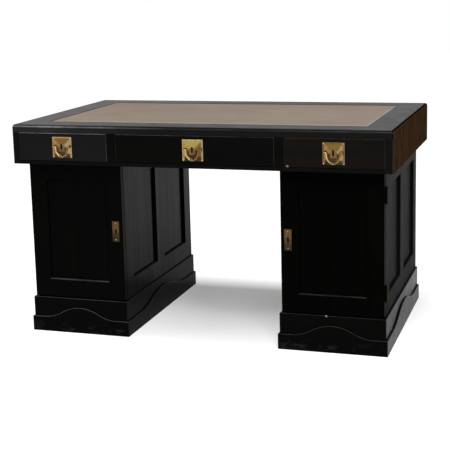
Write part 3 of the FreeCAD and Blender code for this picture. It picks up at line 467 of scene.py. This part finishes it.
def case_wood(name, grain_axis):
    """Plain brown waxed wood of the hidden boards, with long rings and darker lines."""
    made, graph = material(name)
    rings = graph.noise(along(grain_axis, 30.0, 0.9), detail=2.0, distortion=0.6)
    lines = graph.math("FRACT", graph.math("MULTIPLY", rings, CASE_RINGS))
    fibres = graph.noise(along(grain_axis, 420.0, 9.0))
    patches = graph.noise(even(4.0), detail=3.0)
    tone = graph.mix(graph.span(lines, 0.1, 0.95), CASE_LIGHT, CASE_DARK)
    tone = graph.mix(graph.span(fibres, 0.4, 0.8, 0.0, 0.5), tone, CASE_FIBRE)
    tone = graph.mix(graph.span(patches, 0.35, 0.75, 0.0, 0.45), tone, CASE_PATCH)
    shine = graph.span(fibres, 0.2, 0.8, 0.52, 0.7)
    normal = graph.bump(fibres, strength=0.25, distance=0.0004)
    graph.surface(Base_Color=tone, Roughness=shine, Normal=normal, Specular_IOR_Level=0.3)
    return made


def edge_line(graph, value, edge, inward):
    """1 along an edge and 0 past a distance inward, which is below 0 where the edge is a high one."""
    return graph.span(value, edge + inward, edge + LEATHER_LINE_CORE * inward)


def writing_leather(name, node):
    """Taupe leather with a fine pebbled grain, faint clouds, rubbed places, and a painted shade line and a painted
    highlight line along its edges.
    """
    made, graph = material(name)
    low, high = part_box(node)
    place = graph.parts("Object")
    cells = graph.cells(even(620.0))
    creases = graph.noise(even(240.0), detail=5.0, roughness=0.6)
    clouds = graph.noise(even(3.2), roughness=0.6)
    rubs = graph.noise((9.0, 22.0, 9.0), detail=5.0, roughness=0.7)
    tone = graph.mix(graph.span(clouds, 0.35, 0.68), LEATHER_DARK, LEATHER_LIGHT)
    tone = graph.mix(graph.span(rubs, 0.55, 0.8, 0.0, 0.3), tone, LEATHER_RUBBED)
    tone = graph.mix(graph.span(cells, 0.35, 0.75, 0.0, 0.3), tone, LEATHER_PORE)
    # Painted shade along the left and back edges, where the border's wall would shade the leather; painted
    # highlight along the right and front edges, where its rolled rim would catch the light
    darkening = graph.either(edge_line(graph, place[0], low.x, LEATHER_SIDE_LINE),
                        edge_line(graph, place[1], high.y, -LEATHER_END_LINE))
    painted_highlight = graph.either(edge_line(graph, place[0], high.x, -LEATHER_SIDE_LINE),
                        edge_line(graph, place[1], low.y, LEATHER_END_LINE))
    tone = graph.mix(graph.both(painted_highlight, graph.span(rubs, 0.3, 0.6, 0.5, 1.0)), tone, LEATHER_HIGHLIGHT)
    tone = graph.mix(graph.both(darkening, graph.span(rubs, 0.3, 0.6, 0.8, 1.0)), tone, LEATHER_SHADE)
    pebbles = graph.math("SUBTRACT", creases, cells)
    normal = graph.bump(pebbles, strength=0.28, distance=0.0005)
    shine = graph.span(rubs, 0.3, 0.8, 0.66, 0.52)
    graph.surface(Base_Color=tone, Roughness=shine, Normal=normal, Specular_IOR_Level=0.18)
    return made


# Brass and steel

def brass_clouds(graph, scale):
    """Slow changes of tone in old brass."""
    return graph.noise(even(scale), detail=5.0, roughness=0.65)


def brass_specks(graph):
    """Fine spots of tarnish."""
    return graph.noise(even(520.0), detail=3.0)


def aged_brass(name, bright, dull, patina, roughness):
    """Brass of nail heads and hinges, bright where it stands out and brown in the hollows."""
    made, graph = material(name)
    clouds = brass_clouds(graph, scale=60.0)
    specks = brass_specks(graph)
    tone = graph.mix(graph.span(clouds, 0.35, 0.7), bright, dull)
    deep = graph.both(graph.hollows(distance=0.006), graph.span(clouds, 0.2, 0.7, 1.6, 1.0))
    tone = graph.mix(graph.span(deep, 0.15, 0.75), tone, patina)
    tone = graph.mix(graph.span(specks, 0.62, 0.8, 0.0, 0.5), tone, patina)
    shine = graph.math("ADD", graph.span(clouds, 0.3, 0.75, -0.06, 0.12), roughness)
    normal = graph.bump(specks, strength=0.10, distance=0.0003)
    graph.surface(Base_Color=tone, Metallic=1.0, Roughness=shine, Normal=normal)
    return made


def plate_shares(graph, node):
    """How far right of and above a plate's middle a point lies, in shares of half the plate's width."""
    low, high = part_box(node)
    middle, half = (low + high) / 2, (high.x - low.x) / 2
    place = graph.parts("Object")
    sideways = graph.math("DIVIDE", graph.math("SUBTRACT", place[0], middle.x), half)
    up = graph.math("DIVIDE", graph.math("SUBTRACT", place[2], middle.z), half)
    return sideways, up


def painted_facet_light(graph, sideways, up, clouds, face, left, right):
    """Painted light and shade: one tone on the top facet above the keyhole and one on each side facet, with a
    ragged line between.
    """
    slope = graph.math("SUBTRACT", up, graph.size(sideways))
    ragged = graph.math("ADD", slope, graph.span(clouds, 0.3, 0.7, -0.12, 0.12))
    sides = graph.mix(graph.span(sideways, -0.1, 0.1), left, right)
    return graph.mix(graph.span(ragged, -0.12, 0.10), sides, face)


def plate_tongue(graph, across, up):
    """The raised tongue that holds the keyhole."""
    return graph.both(graph.span(across, *TONGUE_SIDE_SPAN), graph.span(up, *TONGUE_FOOT_SPAN))


def plate_keyhole(graph, across, up):
    """The keyhole, painted near black as shade, with grime about it."""
    ends = graph.both(graph.span(up, *KEYHOLE_HEAD_SPAN), graph.span(up, *KEYHOLE_FOOT_SPAN))
    return graph.both(graph.span(across, *KEYHOLE_SIDE_SPAN), ends)


def plate_patina_and_shade(graph, across, up, tongue):
    """Patina and painted shade in the hollow arch behind the bail, and painted shade in two places in the lower
    corners and in a line along the foot.
    """
    wide = graph.math("POWER", graph.math("DIVIDE", across, ARCH_HALF_WIDTH), 2.0)
    deep = graph.math("POWER", graph.math("DIVIDE", graph.math("MINIMUM", up, 0.0), ARCH_DEPTH), 2.0)
    arch = graph.both(graph.span(graph.math("ADD", wide, deep), *ARCH_SPAN), graph.span(up, *ARCH_HEAD_SPAN))
    hollow = graph.both(arch, graph.math("SUBTRACT", 1.0, tongue))
    corner = graph.both(graph.span(across, *CORNER_INNER_SPAN), graph.span(across, *CORNER_OUTER_SPAN))
    corner = graph.both(corner, graph.span(up, *CORNER_HEAD_SPAN))
    foot = graph.both(graph.span(up, *FOOT_HEAD_SPAN), graph.span(across, *FOOT_SIDE_SPAN))
    return graph.either(graph.either(hollow, corner), foot)


def plate_brass(name, node, rim, **facet_light):
    """A stamped plate's brass: a rim, one tone above the keyhole and two beside it, which paint the light and
    shade on these facets, with patina and painted shade in the hollows.
    """
    made, graph = material(name)
    sideways, up = plate_shares(graph, node)
    across = graph.size(sideways)
    clouds = brass_clouds(graph, scale=90.0)
    specks = brass_specks(graph)
    tone = painted_facet_light(graph, sideways, up, clouds, **facet_light)
    tongue = plate_tongue(graph, across, up)
    tone = graph.mix(graph.both(tongue, graph.span(up, *TONGUE_HEAD_SPAN)), tone, TONGUE_BRASS)
    on_rim = graph.span(graph.either(across, graph.size(up)), *RIM_SPAN)
    # The rim's tone per plate stands in for the light it catches
    tone = graph.mix(graph.both(on_rim, graph.span(clouds, 0.3, 0.65, 1.0, 0.6)), tone, rim)
    # Patina and painted shade behind the bail, painted shade in the lower corners and along the foot, and patina
    # in the hollows, all in the patina's colour
    darkening = graph.both(plate_patina_and_shade(graph, across, up, tongue), graph.span(clouds, 0.3, 0.65, 1.0, 0.8))
    darkening = graph.either(darkening, graph.span(graph.hollows(distance=0.004), 0.25, 0.8, 0.0, 0.8))
    wall = graph.span(graph.size(graph.parts("Normal")[1]), 0.5, 0.2)
    tone = graph.mix(graph.either(darkening, wall), tone, BRASS_PATINA)
    tone = graph.mix(graph.span(clouds, 0.48, 0.72, 0.0, 0.45), tone, BRASS_PATINA)
    tone = graph.mix(graph.span(specks, 0.6, 0.8, 0.0, 0.45), tone, BRASS_PATINA)
    # Painted shade and grime in the keyhole
    tone = graph.mix(plate_keyhole(graph, across, up), tone, KEYHOLE_SHADE_AND_GRIME)
    shine = graph.math("ADD", graph.span(clouds, 0.3, 0.75, 0.26, 0.42), graph.both(darkening, 0.15))
    pitted = graph.bump(specks, strength=0.12, distance=0.0003)
    normal = graph.bump(clouds, strength=0.10, distance=0.0012, normal=pitted)
    graph.surface(Base_Color=tone, Metallic=1.0, Roughness=shine, Normal=normal)
    return made


def bail_brass(name, node):
    """A bail's brass: bright on the left arm as a painted highlight, with painted shade on the right arm and at
    the foot of the arch.
    """
    made, graph = material(name)
    low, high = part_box(node)
    place = graph.parts("Object")
    clouds = brass_clouds(graph, scale=60.0)
    specks = brass_specks(graph)
    rightward = graph.span(place[0], *(low.lerp(high, share).x for share in BAIL_RIGHT_SPAN))
    lowest = graph.span(place[2], *(low.lerp(high, share).z for share in BAIL_FOOT_SPAN))
    tone = graph.mix(graph.span(clouds, 0.35, 0.7), BAIL_BRIGHT, BAIL_DULL)
    # Painted shade on the right arm and at the foot; the left arm keeps the bright tone as a painted highlight
    tone = graph.mix(graph.either(rightward, lowest), tone, BAIL_SHADE)
    tone = graph.mix(graph.span(specks, 0.62, 0.8, 0.0, 0.5), tone, BRASS_PATINA)
    shine = graph.span(clouds, 0.3, 0.75, 0.24, 0.42)
    normal = graph.bump(specks, strength=0.10, distance=0.0003)
    graph.surface(Base_Color=tone, Metallic=1.0, Roughness=shine, Normal=normal)
    return made


def escutcheon_brass(name, node):
    """A narrow escutcheon's dull brass: lighter above, brown below, with a keyhole painted near black as shade and
    grime.
    """
    made, graph = material(name)
    low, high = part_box(node)
    middle = (low + high) / 2
    place = graph.parts("Object")
    across = graph.size(graph.math("SUBTRACT", place[0], middle.x))
    up = graph.math("SUBTRACT", place[2], middle.z)
    clouds = brass_clouds(graph, scale=110.0)
    specks = brass_specks(graph)
    lower = graph.span(up, *ESCUTCHEON_LOWER_SPAN)
    lower = graph.math("ADD", lower, graph.span(clouds, 0.3, 0.7, -0.35, 0.35))
    tone = graph.mix(graph.span(lower, 0.1, 0.9), ESCUTCHEON_UPPER, ESCUTCHEON_LOWER)
    tone = graph.mix(graph.span(specks, 0.58, 0.8, 0.0, 0.5), tone, BRASS_PATINA)
    # Painted shade and grime in the keyhole
    keyhole = graph.both(graph.span(across, *ESCUTCHEON_KEYHOLE_SIDE_SPAN),
                         graph.span(graph.size(up), *ESCUTCHEON_KEYHOLE_END_SPAN))
    tone = graph.mix(keyhole, tone, KEYHOLE_SHADE_AND_GRIME)
    shine = graph.span(clouds, 0.3, 0.75, 0.36, 0.52)
    normal = graph.bump(specks, strength=0.10, distance=0.0003)
    graph.surface(Base_Color=tone, Metallic=1.0, Roughness=shine, Normal=normal)
    return made


def dark_steel(name):
    """Plain lock steel with file marks and a little rust."""
    made, graph = material(name)
    marks = graph.noise((900.0, 900.0, 40.0), detail=2.0)
    rust = graph.noise(even(70.0), detail=5.0, roughness=0.7)
    tone = graph.mix(graph.span(rust, 0.55, 0.75, 0.0, 0.6), LOCK_STEEL, LOCK_RUST)
    shine = graph.span(rust, 0.4, 0.8, 0.38, 0.7)
    normal = graph.bump(marks, strength=0.12, distance=0.0002)
    graph.surface(Base_Color=tone, Metallic=1.0, Roughness=shine, Normal=normal)
    return made


# New pieces

def mesh_piece(name, made, body, skin):
    """A smooth mesh object from a bmesh, on its body and with its material."""
    mesh = bpy.data.meshes.new(name)
    bmesh.ops.recalc_face_normals(made, faces=made.faces)
    made.to_mesh(mesh)
    made.free()
    for face in mesh.polygons:
        face.use_smooth = True
    mesh.materials.append(skin)
    piece = bpy.data.objects.new(name, mesh)
    bpy.context.scene.collection.objects.link(piece)
    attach(piece, body)
    return piece


def join_rings(made, rings):
    """Faces between each ring of points and the next."""
    for first, second in zip(rings, rings[1:]):
        for here in range(len(first)):
            after = (here + 1) % len(first)
            made.faces.new((first[here], first[after], second[after], second[here]))


def lay_leather(skin):
    """One thin sheet let into the top: nearly flat, with its rim rolled down to the border."""
    low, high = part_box("writing_leather")
    width, depth = high.x - low.x, high.y - low.y
    middle = (low + high) / 2
    made = bmesh.new()
    bmesh.ops.create_grid(made, x_segments=LEATHER_ACROSS, y_segments=LEATHER_DEEP, size=0.5)
    for corner in made.verts:
        x, y = corner.co.x * width, corner.co.y * depth
        to_rim = min(width / 2 - abs(x), depth / 2 - abs(y))
        roll = max(0.0, 1.0 - to_rim / LEATHER_EDGE_ROLL)
        wave = math.prod(math.sin(x * across + y * deep) for across, deep in LEATHER_RIPPLES)
        height = high.z - LEATHER_WAVE * (1.0 + wave) - LEATHER_EDGE_DROP * roll * roll
        corner.co = Vector((middle.x + x, middle.y + y, height))
    rim = [edge for edge in made.edges if edge.is_boundary]
    skirt = bmesh.ops.extrude_edge_only(made, edges=rim)["geom"]
    for corner in skirt:
        if isinstance(corner, bmesh.types.BMVert):
            corner.co.z = low.z
    bmesh.ops.holes_fill(made, edges=[edge for edge in made.edges if edge.is_boundary])
    piece = mesh_piece("leather_sheet", made, "desk", skin)
    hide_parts("writing_leather")


def arc(x, z, radius, start, end, steps):
    """Points along an arc in the upright plane of a bail, about x and z, without its last point."""
    turns = [start + (end - start) * k / steps for k in range(steps)]
    return [Vector((x + radius * math.cos(turn), 0.0, z + radius * math.sin(turn))) for turn in turns]


def bail_path():
    """Points along half a bail, from the bottom of the arch to the end of its pin, about the pivot."""
    half_width, bottom, bend = BAIL_HALF_WIDTH, BAIL_BOTTOM_RADIUS, BAIL_BEND_RADIUS
    drop = BAIL_DROP - bend - bottom
    arm = (half_width ** 2 + drop ** 2 - bottom ** 2) / (2 * (half_width - bottom))
    turn = math.atan2(drop, arm - half_width)
    pin = half_width + bend
    right_angle = math.pi / 2
    points = arc(0.0, -bend - drop, bottom, -right_angle, -turn, BAIL_SHORT_ARC_STEPS)
    points += arc(half_width - arm, -bend, arm, -turn, 0.0, BAIL_LONG_ARC_STEPS)
    points += arc(pin, -bend, bend, math.pi, right_angle, BAIL_SHORT_ARC_STEPS)
    return points + [Vector((pin, 0.0, 0.0)), Vector((pin + BAIL_PIN_LENGTH, 0.0, 0.0))]


def bail_rod(made, points):
    """A closed round rod along points that lie in one upright plane."""
    rings = []
    for k, point in enumerate(points):
        before = points[max(k - 1, 0)]
        after = points[min(k + 1, len(points) - 1)]
        ahead = (after - before).normalized()
        across = ahead.cross(Vector((0.0, 1.0, 0.0)))
        ring = []
        for s in range(BAIL_SIDES):
            angle = 2 * math.pi * s / BAIL_SIDES
            offset = across * math.cos(angle) + Vector((0.0, math.sin(angle), 0.0))
            ring.append(made.verts.new(point + offset * BAIL_ROD_RADIUS))
        rings.append(ring)
    join_rings(made, rings)
    made.faces.new(rings[0])
    made.faces.new(rings[-1])


def hang_bail(drawer, skin):
    """A smooth drop bail with a small bead in its arch, in place of the plainer one."""
    joint = next(j for j in frame["joints"] if j["name"] == drawer + "_bail_lift")
    half = bail_path()
    whole = [Vector((-p.x, p.y, p.z)) for p in reversed(half[1:])] + half
    made = bmesh.new()
    bail_rod(made, whole)
    bead = Matrix.Translation((0.0, 0.0, half[0].z + BAIL_ROD_RADIUS + BEAD_RADIUS * BEAD_LIFT))
    bmesh.ops.create_uvsphere(made, u_segments=BEAD_SIDES, v_segments=BEAD_RINGS, radius=BEAD_RADIUS,
                              matrix=bead)
    made.transform(Matrix.Translation(joint["pos_m"]))
    piece = mesh_piece(drawer + "_bail", made, drawer + "_pull_bail", skin)
    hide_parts(drawer + "_drawer_bail")


def pin_head(made, middle):
    """A small domed nail head that faces the front, with its flat back at a point."""
    rings = []
    for k in range(PIN_RINGS):
        rise = math.pi / 2 * k / PIN_RINGS
        radius = PIN_RADIUS * math.cos(rise)
        ring = []
        for s in range(PIN_SIDES):
            angle = 2 * math.pi * s / PIN_SIDES
            offset = (radius * math.cos(angle), -PIN_HEIGHT * math.sin(rise), radius * math.sin(angle))
            ring.append(made.verts.new(middle + Vector(offset)))
        rings.append(ring)
    tip = made.verts.new(middle + Vector((0.0, -PIN_HEIGHT, 0.0)))
    made.faces.new(rings[0])
    join_rings(made, rings)
    for s in range(PIN_SIDES):
        made.faces.new((rings[-1][s], rings[-1][(s + 1) % PIN_SIDES], tip))


def pin_plate(drawer, skin):
    """Four nail heads on the corners of a plate's rim."""
    low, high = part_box(drawer + "_drawer_pull_plate")
    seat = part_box(drawer + "_drawer_front")[0].y - PLATE_RIM_LEVEL
    made = bmesh.new()
    for x in (low.x + PLATE_PIN_INSET, high.x - PLATE_PIN_INSET):
        for z in (low.z + PLATE_PIN_INSET, high.z - PLATE_PIN_INSET):
            pin_head(made, Vector((x, seat, z)))
    mesh_piece(drawer + "_plate_pins", made, drawer + "_drawer", skin)


def pin_escutcheon(door, skin):
    """A nail head near each end of an escutcheon."""
    low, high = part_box(door + "_door_escutcheon")
    made = bmesh.new()
    for z in (low.z + ESCUTCHEON_PIN_INSET, high.z - ESCUTCHEON_PIN_INSET):
        pin_head(made, Vector(((low.x + high.x) / 2, low.y, z)))
    mesh_piece(door + "_escutcheon_pins", made, door + "_door", skin)


# Dressing the CAD nodes

def dress(names, skin):
    """Gives CAD nodes a material in place of the one that they have."""
    for name in names:
        mesh = NODES[name].data
        mesh.materials.clear()
        mesh.materials.append(skin)


def slot_nodes(slot):
    """The nodes that the record gives a material slot."""
    return [row["node"] for row in frame["record"]["subparts"] if row["material_slot"] == slot]


def having(names, *words):
    """The names that hold one of some words."""
    return [name for name in names if any(word in name for word in words)]


def drawer_chip():
    """A place near the lower left corner of the right drawer's front."""
    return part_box("right_drawer_front")[0] + Vector(DRAWER_CHIP_INSET)


def plinth_chip():
    """A place on the top edge of the right plinth's front, left of its middle."""
    low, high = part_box("right_plinth")
    return Vector(((low.x + high.x) / 2 - PLINTH_CHIP_LEFT, low.y, high.z))


def dress_black_wood():
    """Each black piece by its grain and by the wear and painted edge highlight given to its place, the later over
    the earlier.
    """
    black = slot_nodes("ebonised_wood")
    dress(black, ebonised_wood("ebonised_across", "x", roughness=0.24, specular=0.018, rub_and_highlight=0.22))
    dress(having(black, "plinth", "skirting"),
          ebonised_wood("ebonised_plinths", "x", roughness=0.24, specular=0.011, rub_and_highlight=0.22))
    dress(["right_plinth"],
          ebonised_wood("ebonised_right_plinth", "x", roughness=0.24, specular=0.011, rub_and_highlight=0.22,
                        chip=plinth_chip()))
    dress(having(black, "door_"),
          ebonised_wood("ebonised_doors", "z", roughness=0.20, specular=0.012, stain=DOOR_STAIN, rub_and_highlight=0.15))
    dress(having(black, "right_door_"),
          ebonised_wood("ebonised_right_door", "z", roughness=0.34, specular=0.003, stain=DOOR_STAIN,
                        rub_and_highlight=0.15))
    dress(having(black, "pedestal"),
          ebonised_wood("ebonised_upright", "z", roughness=0.18, specular=0.02, brown=0.04, rub_and_highlight=0.02,
                        streaky=True))
    dress(having(black, "right_pedestal"),
          ebonised_wood("ebonised_dulled", "z", roughness=0.40, specular=0.003, stain=DULLED_STAIN, rub_and_highlight=0.03,
                        streaky=True))
    dress(["front_rail"], ebonised_wood("ebonised_rail", "x", roughness=0.24, specular=0.03, rub_and_highlight=0.35))
    dress(["left_drawer_front"],
          ebonised_wood("ebonised_left_drawer", "x", roughness=0.24, specular=0.09, rub_and_highlight=1.0, upright=0.2))
    dress(["centre_drawer_front"],
          ebonised_wood("ebonised_centre_drawer", "x", roughness=0.24, specular=0.018, rub_and_highlight=0.35,
                        upright=0.8))
    dress(["right_drawer_front"],
          ebonised_wood("ebonised_right_drawer", "x", roughness=0.28, specular=0.04, stain=WARM_STAIN,
                        brown=0.03, rub_and_highlight=0.3, upright=0.9, chip=drawer_chip()))
    dress(["top_border"],
          ebonised_wood("ebonised_table", "x", roughness=0.20, specular=0.08, rub_and_highlight=0.6, tabletop=True,
                        faded=True))
    dress(["frieze_sides"],
          ebonised_wood("ebonised_faded", "z", roughness=0.24, specular=0.05, rub_and_highlight=0.25, upright=0.6,
                        faded=True))


def dress_brown_wood():
    """The boards inside, and those whose grain runs from front to back."""
    inside = slot_nodes("case_wood")
    dress(inside, case_wood("case_wood_across", "x"))
    dress(having(inside, "box", "runner", "guide"), case_wood("case_wood_deep", "y"))


def dress_metal():
    """Plates, bails and pins of brass, darker escutcheons and hinges, and plain steel locks."""
    pins = aged_brass("pin_brass", **PIN_BRASS)
    for drawer, facet_light in PLATE_LIGHT_AND_SHADE.items():
        plate = drawer + "_drawer_pull_plate"
        dress([plate], plate_brass(drawer + "_plate_brass", plate, **facet_light))
        hang_bail(drawer, bail_brass(drawer + "_bail_brass", drawer + "_drawer_bail"))
        pin_plate(drawer, pins)
    for door in ("left", "right"):
        escutcheon = door + "_door_escutcheon"
        dress([escutcheon], escutcheon_brass(door + "_escutcheon_brass", escutcheon))
        pin_escutcheon(door, pins)
    dress(slot_nodes("hinge_brass"), aged_brass("hinge_brass", **HINGE_BRASS))
    dress(slot_nodes("lock_steel"), dark_steel("lock_steel"))


# Stage, light and camera

def beside(graph, node):
    """1 on the floor beside a node and 0 well under it."""
    low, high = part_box(node)
    middle, half = (low + high) / 2, (high - low) / 2
    place = graph.parts("Object")
    sideways = graph.size(graph.math("SUBTRACT", place[0], middle.x))
    deep = graph.size(graph.math("SUBTRACT", place[1], middle.y))
    return graph.either(graph.span(sideways, half.x - FLOOR_PLINTH_EDGE, half.x),
                        graph.span(deep, half.y - FLOOR_PLINTH_EDGE, half.y))


def studio_floor(name):
    """A pale floor that reads white where it is lit and keeps the desk's soft shadow."""
    made, graph = material(name)
    path = graph.add("ShaderNodeLightPath").outputs
    seen = graph.either(path["Is Camera Ray"], path["Is Transmission Ray"])
    seen = graph.either(seen, path["Is Glossy Ray"])
    away = graph.measure("DISTANCE", graph.place(SHADOW_STRETCH), SHADOW_MIDDLE)
    around = graph.span(away, *FLOOR_AROUND_SPAN, FLOOR_LIFT_LEAST, FLOOR_LIFT_MOST)
    behind = graph.span(graph.parts("Object")[1], *FLOOR_BEHIND_SPAN, FLOOR_LIFT_LEAST, FLOOR_LIFT_MOST)
    lift = graph.either(around, behind)
    for plinth in ("left_plinth", "right_plinth"):
        lift = graph.both(lift, beside(graph, plinth))
    diffuse = graph.add("ShaderNodeBsdfDiffuse", {"Color": FLOOR_COLOUR})
    glow = graph.add("ShaderNodeEmission", {"Strength": graph.both(seen, lift)})
    lit = graph.add("ShaderNodeAddShader", {0: diffuse.outputs[0], 1: glow.outputs[0]})
    graph.add("ShaderNodeOutputMaterial", {"Surface": lit.outputs[0]})
    return made


def build_floor():
    """A wide level sheet just under the plinths."""
    mesh = bpy.data.meshes.new("studio_floor")
    made = bmesh.new()
    bmesh.ops.create_grid(made, x_segments=1, y_segments=1, size=FLOOR_SIZE / 2)
    made.to_mesh(mesh)
    made.free()
    mesh.materials.append(studio_floor("studio_floor"))
    floor = bpy.data.objects.new("studio_floor", mesh)
    floor.location = (0.0, 0.0, -FLOOR_DROP)
    bpy.context.scene.collection.objects.link(floor)


def build_world():
    """A white studio: seen white, even as fill, and mirrored bright behind and dim in front.

    One reflector in front and above is mirrored bright too.
    """
    world = bpy.data.worlds.new("studio")
    bpy.context.scene.world = world
    world.use_nodes = True
    graph = Graph(world.node_tree)
    path = graph.add("ShaderNodeLightPath").outputs
    direction = graph.coordinate("Generated")
    behind = graph.measure("DOT_PRODUCT", direction, BRIGHT_SIDE)
    bright = graph.span(behind, *BRIGHT_SPAN, SURROUND_DIM, SURROUND_BRIGHT)
    before = graph.measure("DOT_PRODUCT", direction, REFLECTOR_SIDE)
    bright = graph.either(bright, graph.span(before, *REFLECTOR_SPAN, 0.0, REFLECTOR_LEVEL))
    mirrored = graph.either(path["Is Glossy Ray"], path["Is Transmission Ray"])
    strength = graph.fade(path["Is Camera Ray"], graph.fade(mirrored, AMBIENT, bright), 1.0)
    background = graph.add("ShaderNodeBackground", {"Color": WHITE, "Strength": strength})
    graph.add("ShaderNodeOutputWorld", {"Surface": background.outputs[0]})


def area_light(name, place, target, size, power):
    """A soft box that faces a target."""
    data = bpy.data.lights.new(name, "AREA")
    data.shape = "RECTANGLE"
    data.size, data.size_y = size
    data.energy = power
    lamp = bpy.data.objects.new(name, data)
    lamp.location = place
    lamp.rotation_euler = (Vector(target) - Vector(place)).to_track_quat("-Z", "Y").to_euler()
    bpy.context.scene.collection.objects.link(lamp)


def build_light():
    for name, settings in SOFTBOXES.items():
        area_light(name, **settings)


def build_camera():
    """A camera with the yaw, pitch and roll that its place was fitted with."""
    data = bpy.data.cameras.new("camera")
    data.sensor_width = SENSOR_WIDTH
    data.lens = CAMERA_FOCUS / IMAGE_SIZE * SENSOR_WIDTH
    data.shift_y = CAMERA_SHIFT_UP
    camera = bpy.data.objects.new("camera", data)
    level = math.cos(CAMERA_PITCH)
    ahead = Vector((math.sin(CAMERA_YAW) * level, math.cos(CAMERA_YAW) * level, math.sin(CAMERA_PITCH)))
    sideways = Vector((math.cos(CAMERA_YAW), -math.sin(CAMERA_YAW), 0.0))
    upright = sideways.cross(ahead)
    tilt = math.asin(math.sin(CAMERA_ROLL) / level)
    right = sideways * math.cos(tilt) + upright * math.sin(tilt)
    up = right.cross(ahead)
    turn = Matrix((right, up, -ahead)).transposed()
    camera.matrix_world = Matrix.Translation(CAMERA_PLACE) @ turn.to_4x4()
    bpy.context.scene.collection.objects.link(camera)
    bpy.context.scene.camera = camera


bpy.context.scene.view_settings.view_transform = "Standard"
dress_black_wood()
dress_brown_wood()
dress_metal()
lay_leather(writing_leather("writing_leather", "writing_leather"))
build_floor()
build_world()
build_light()
build_camera()
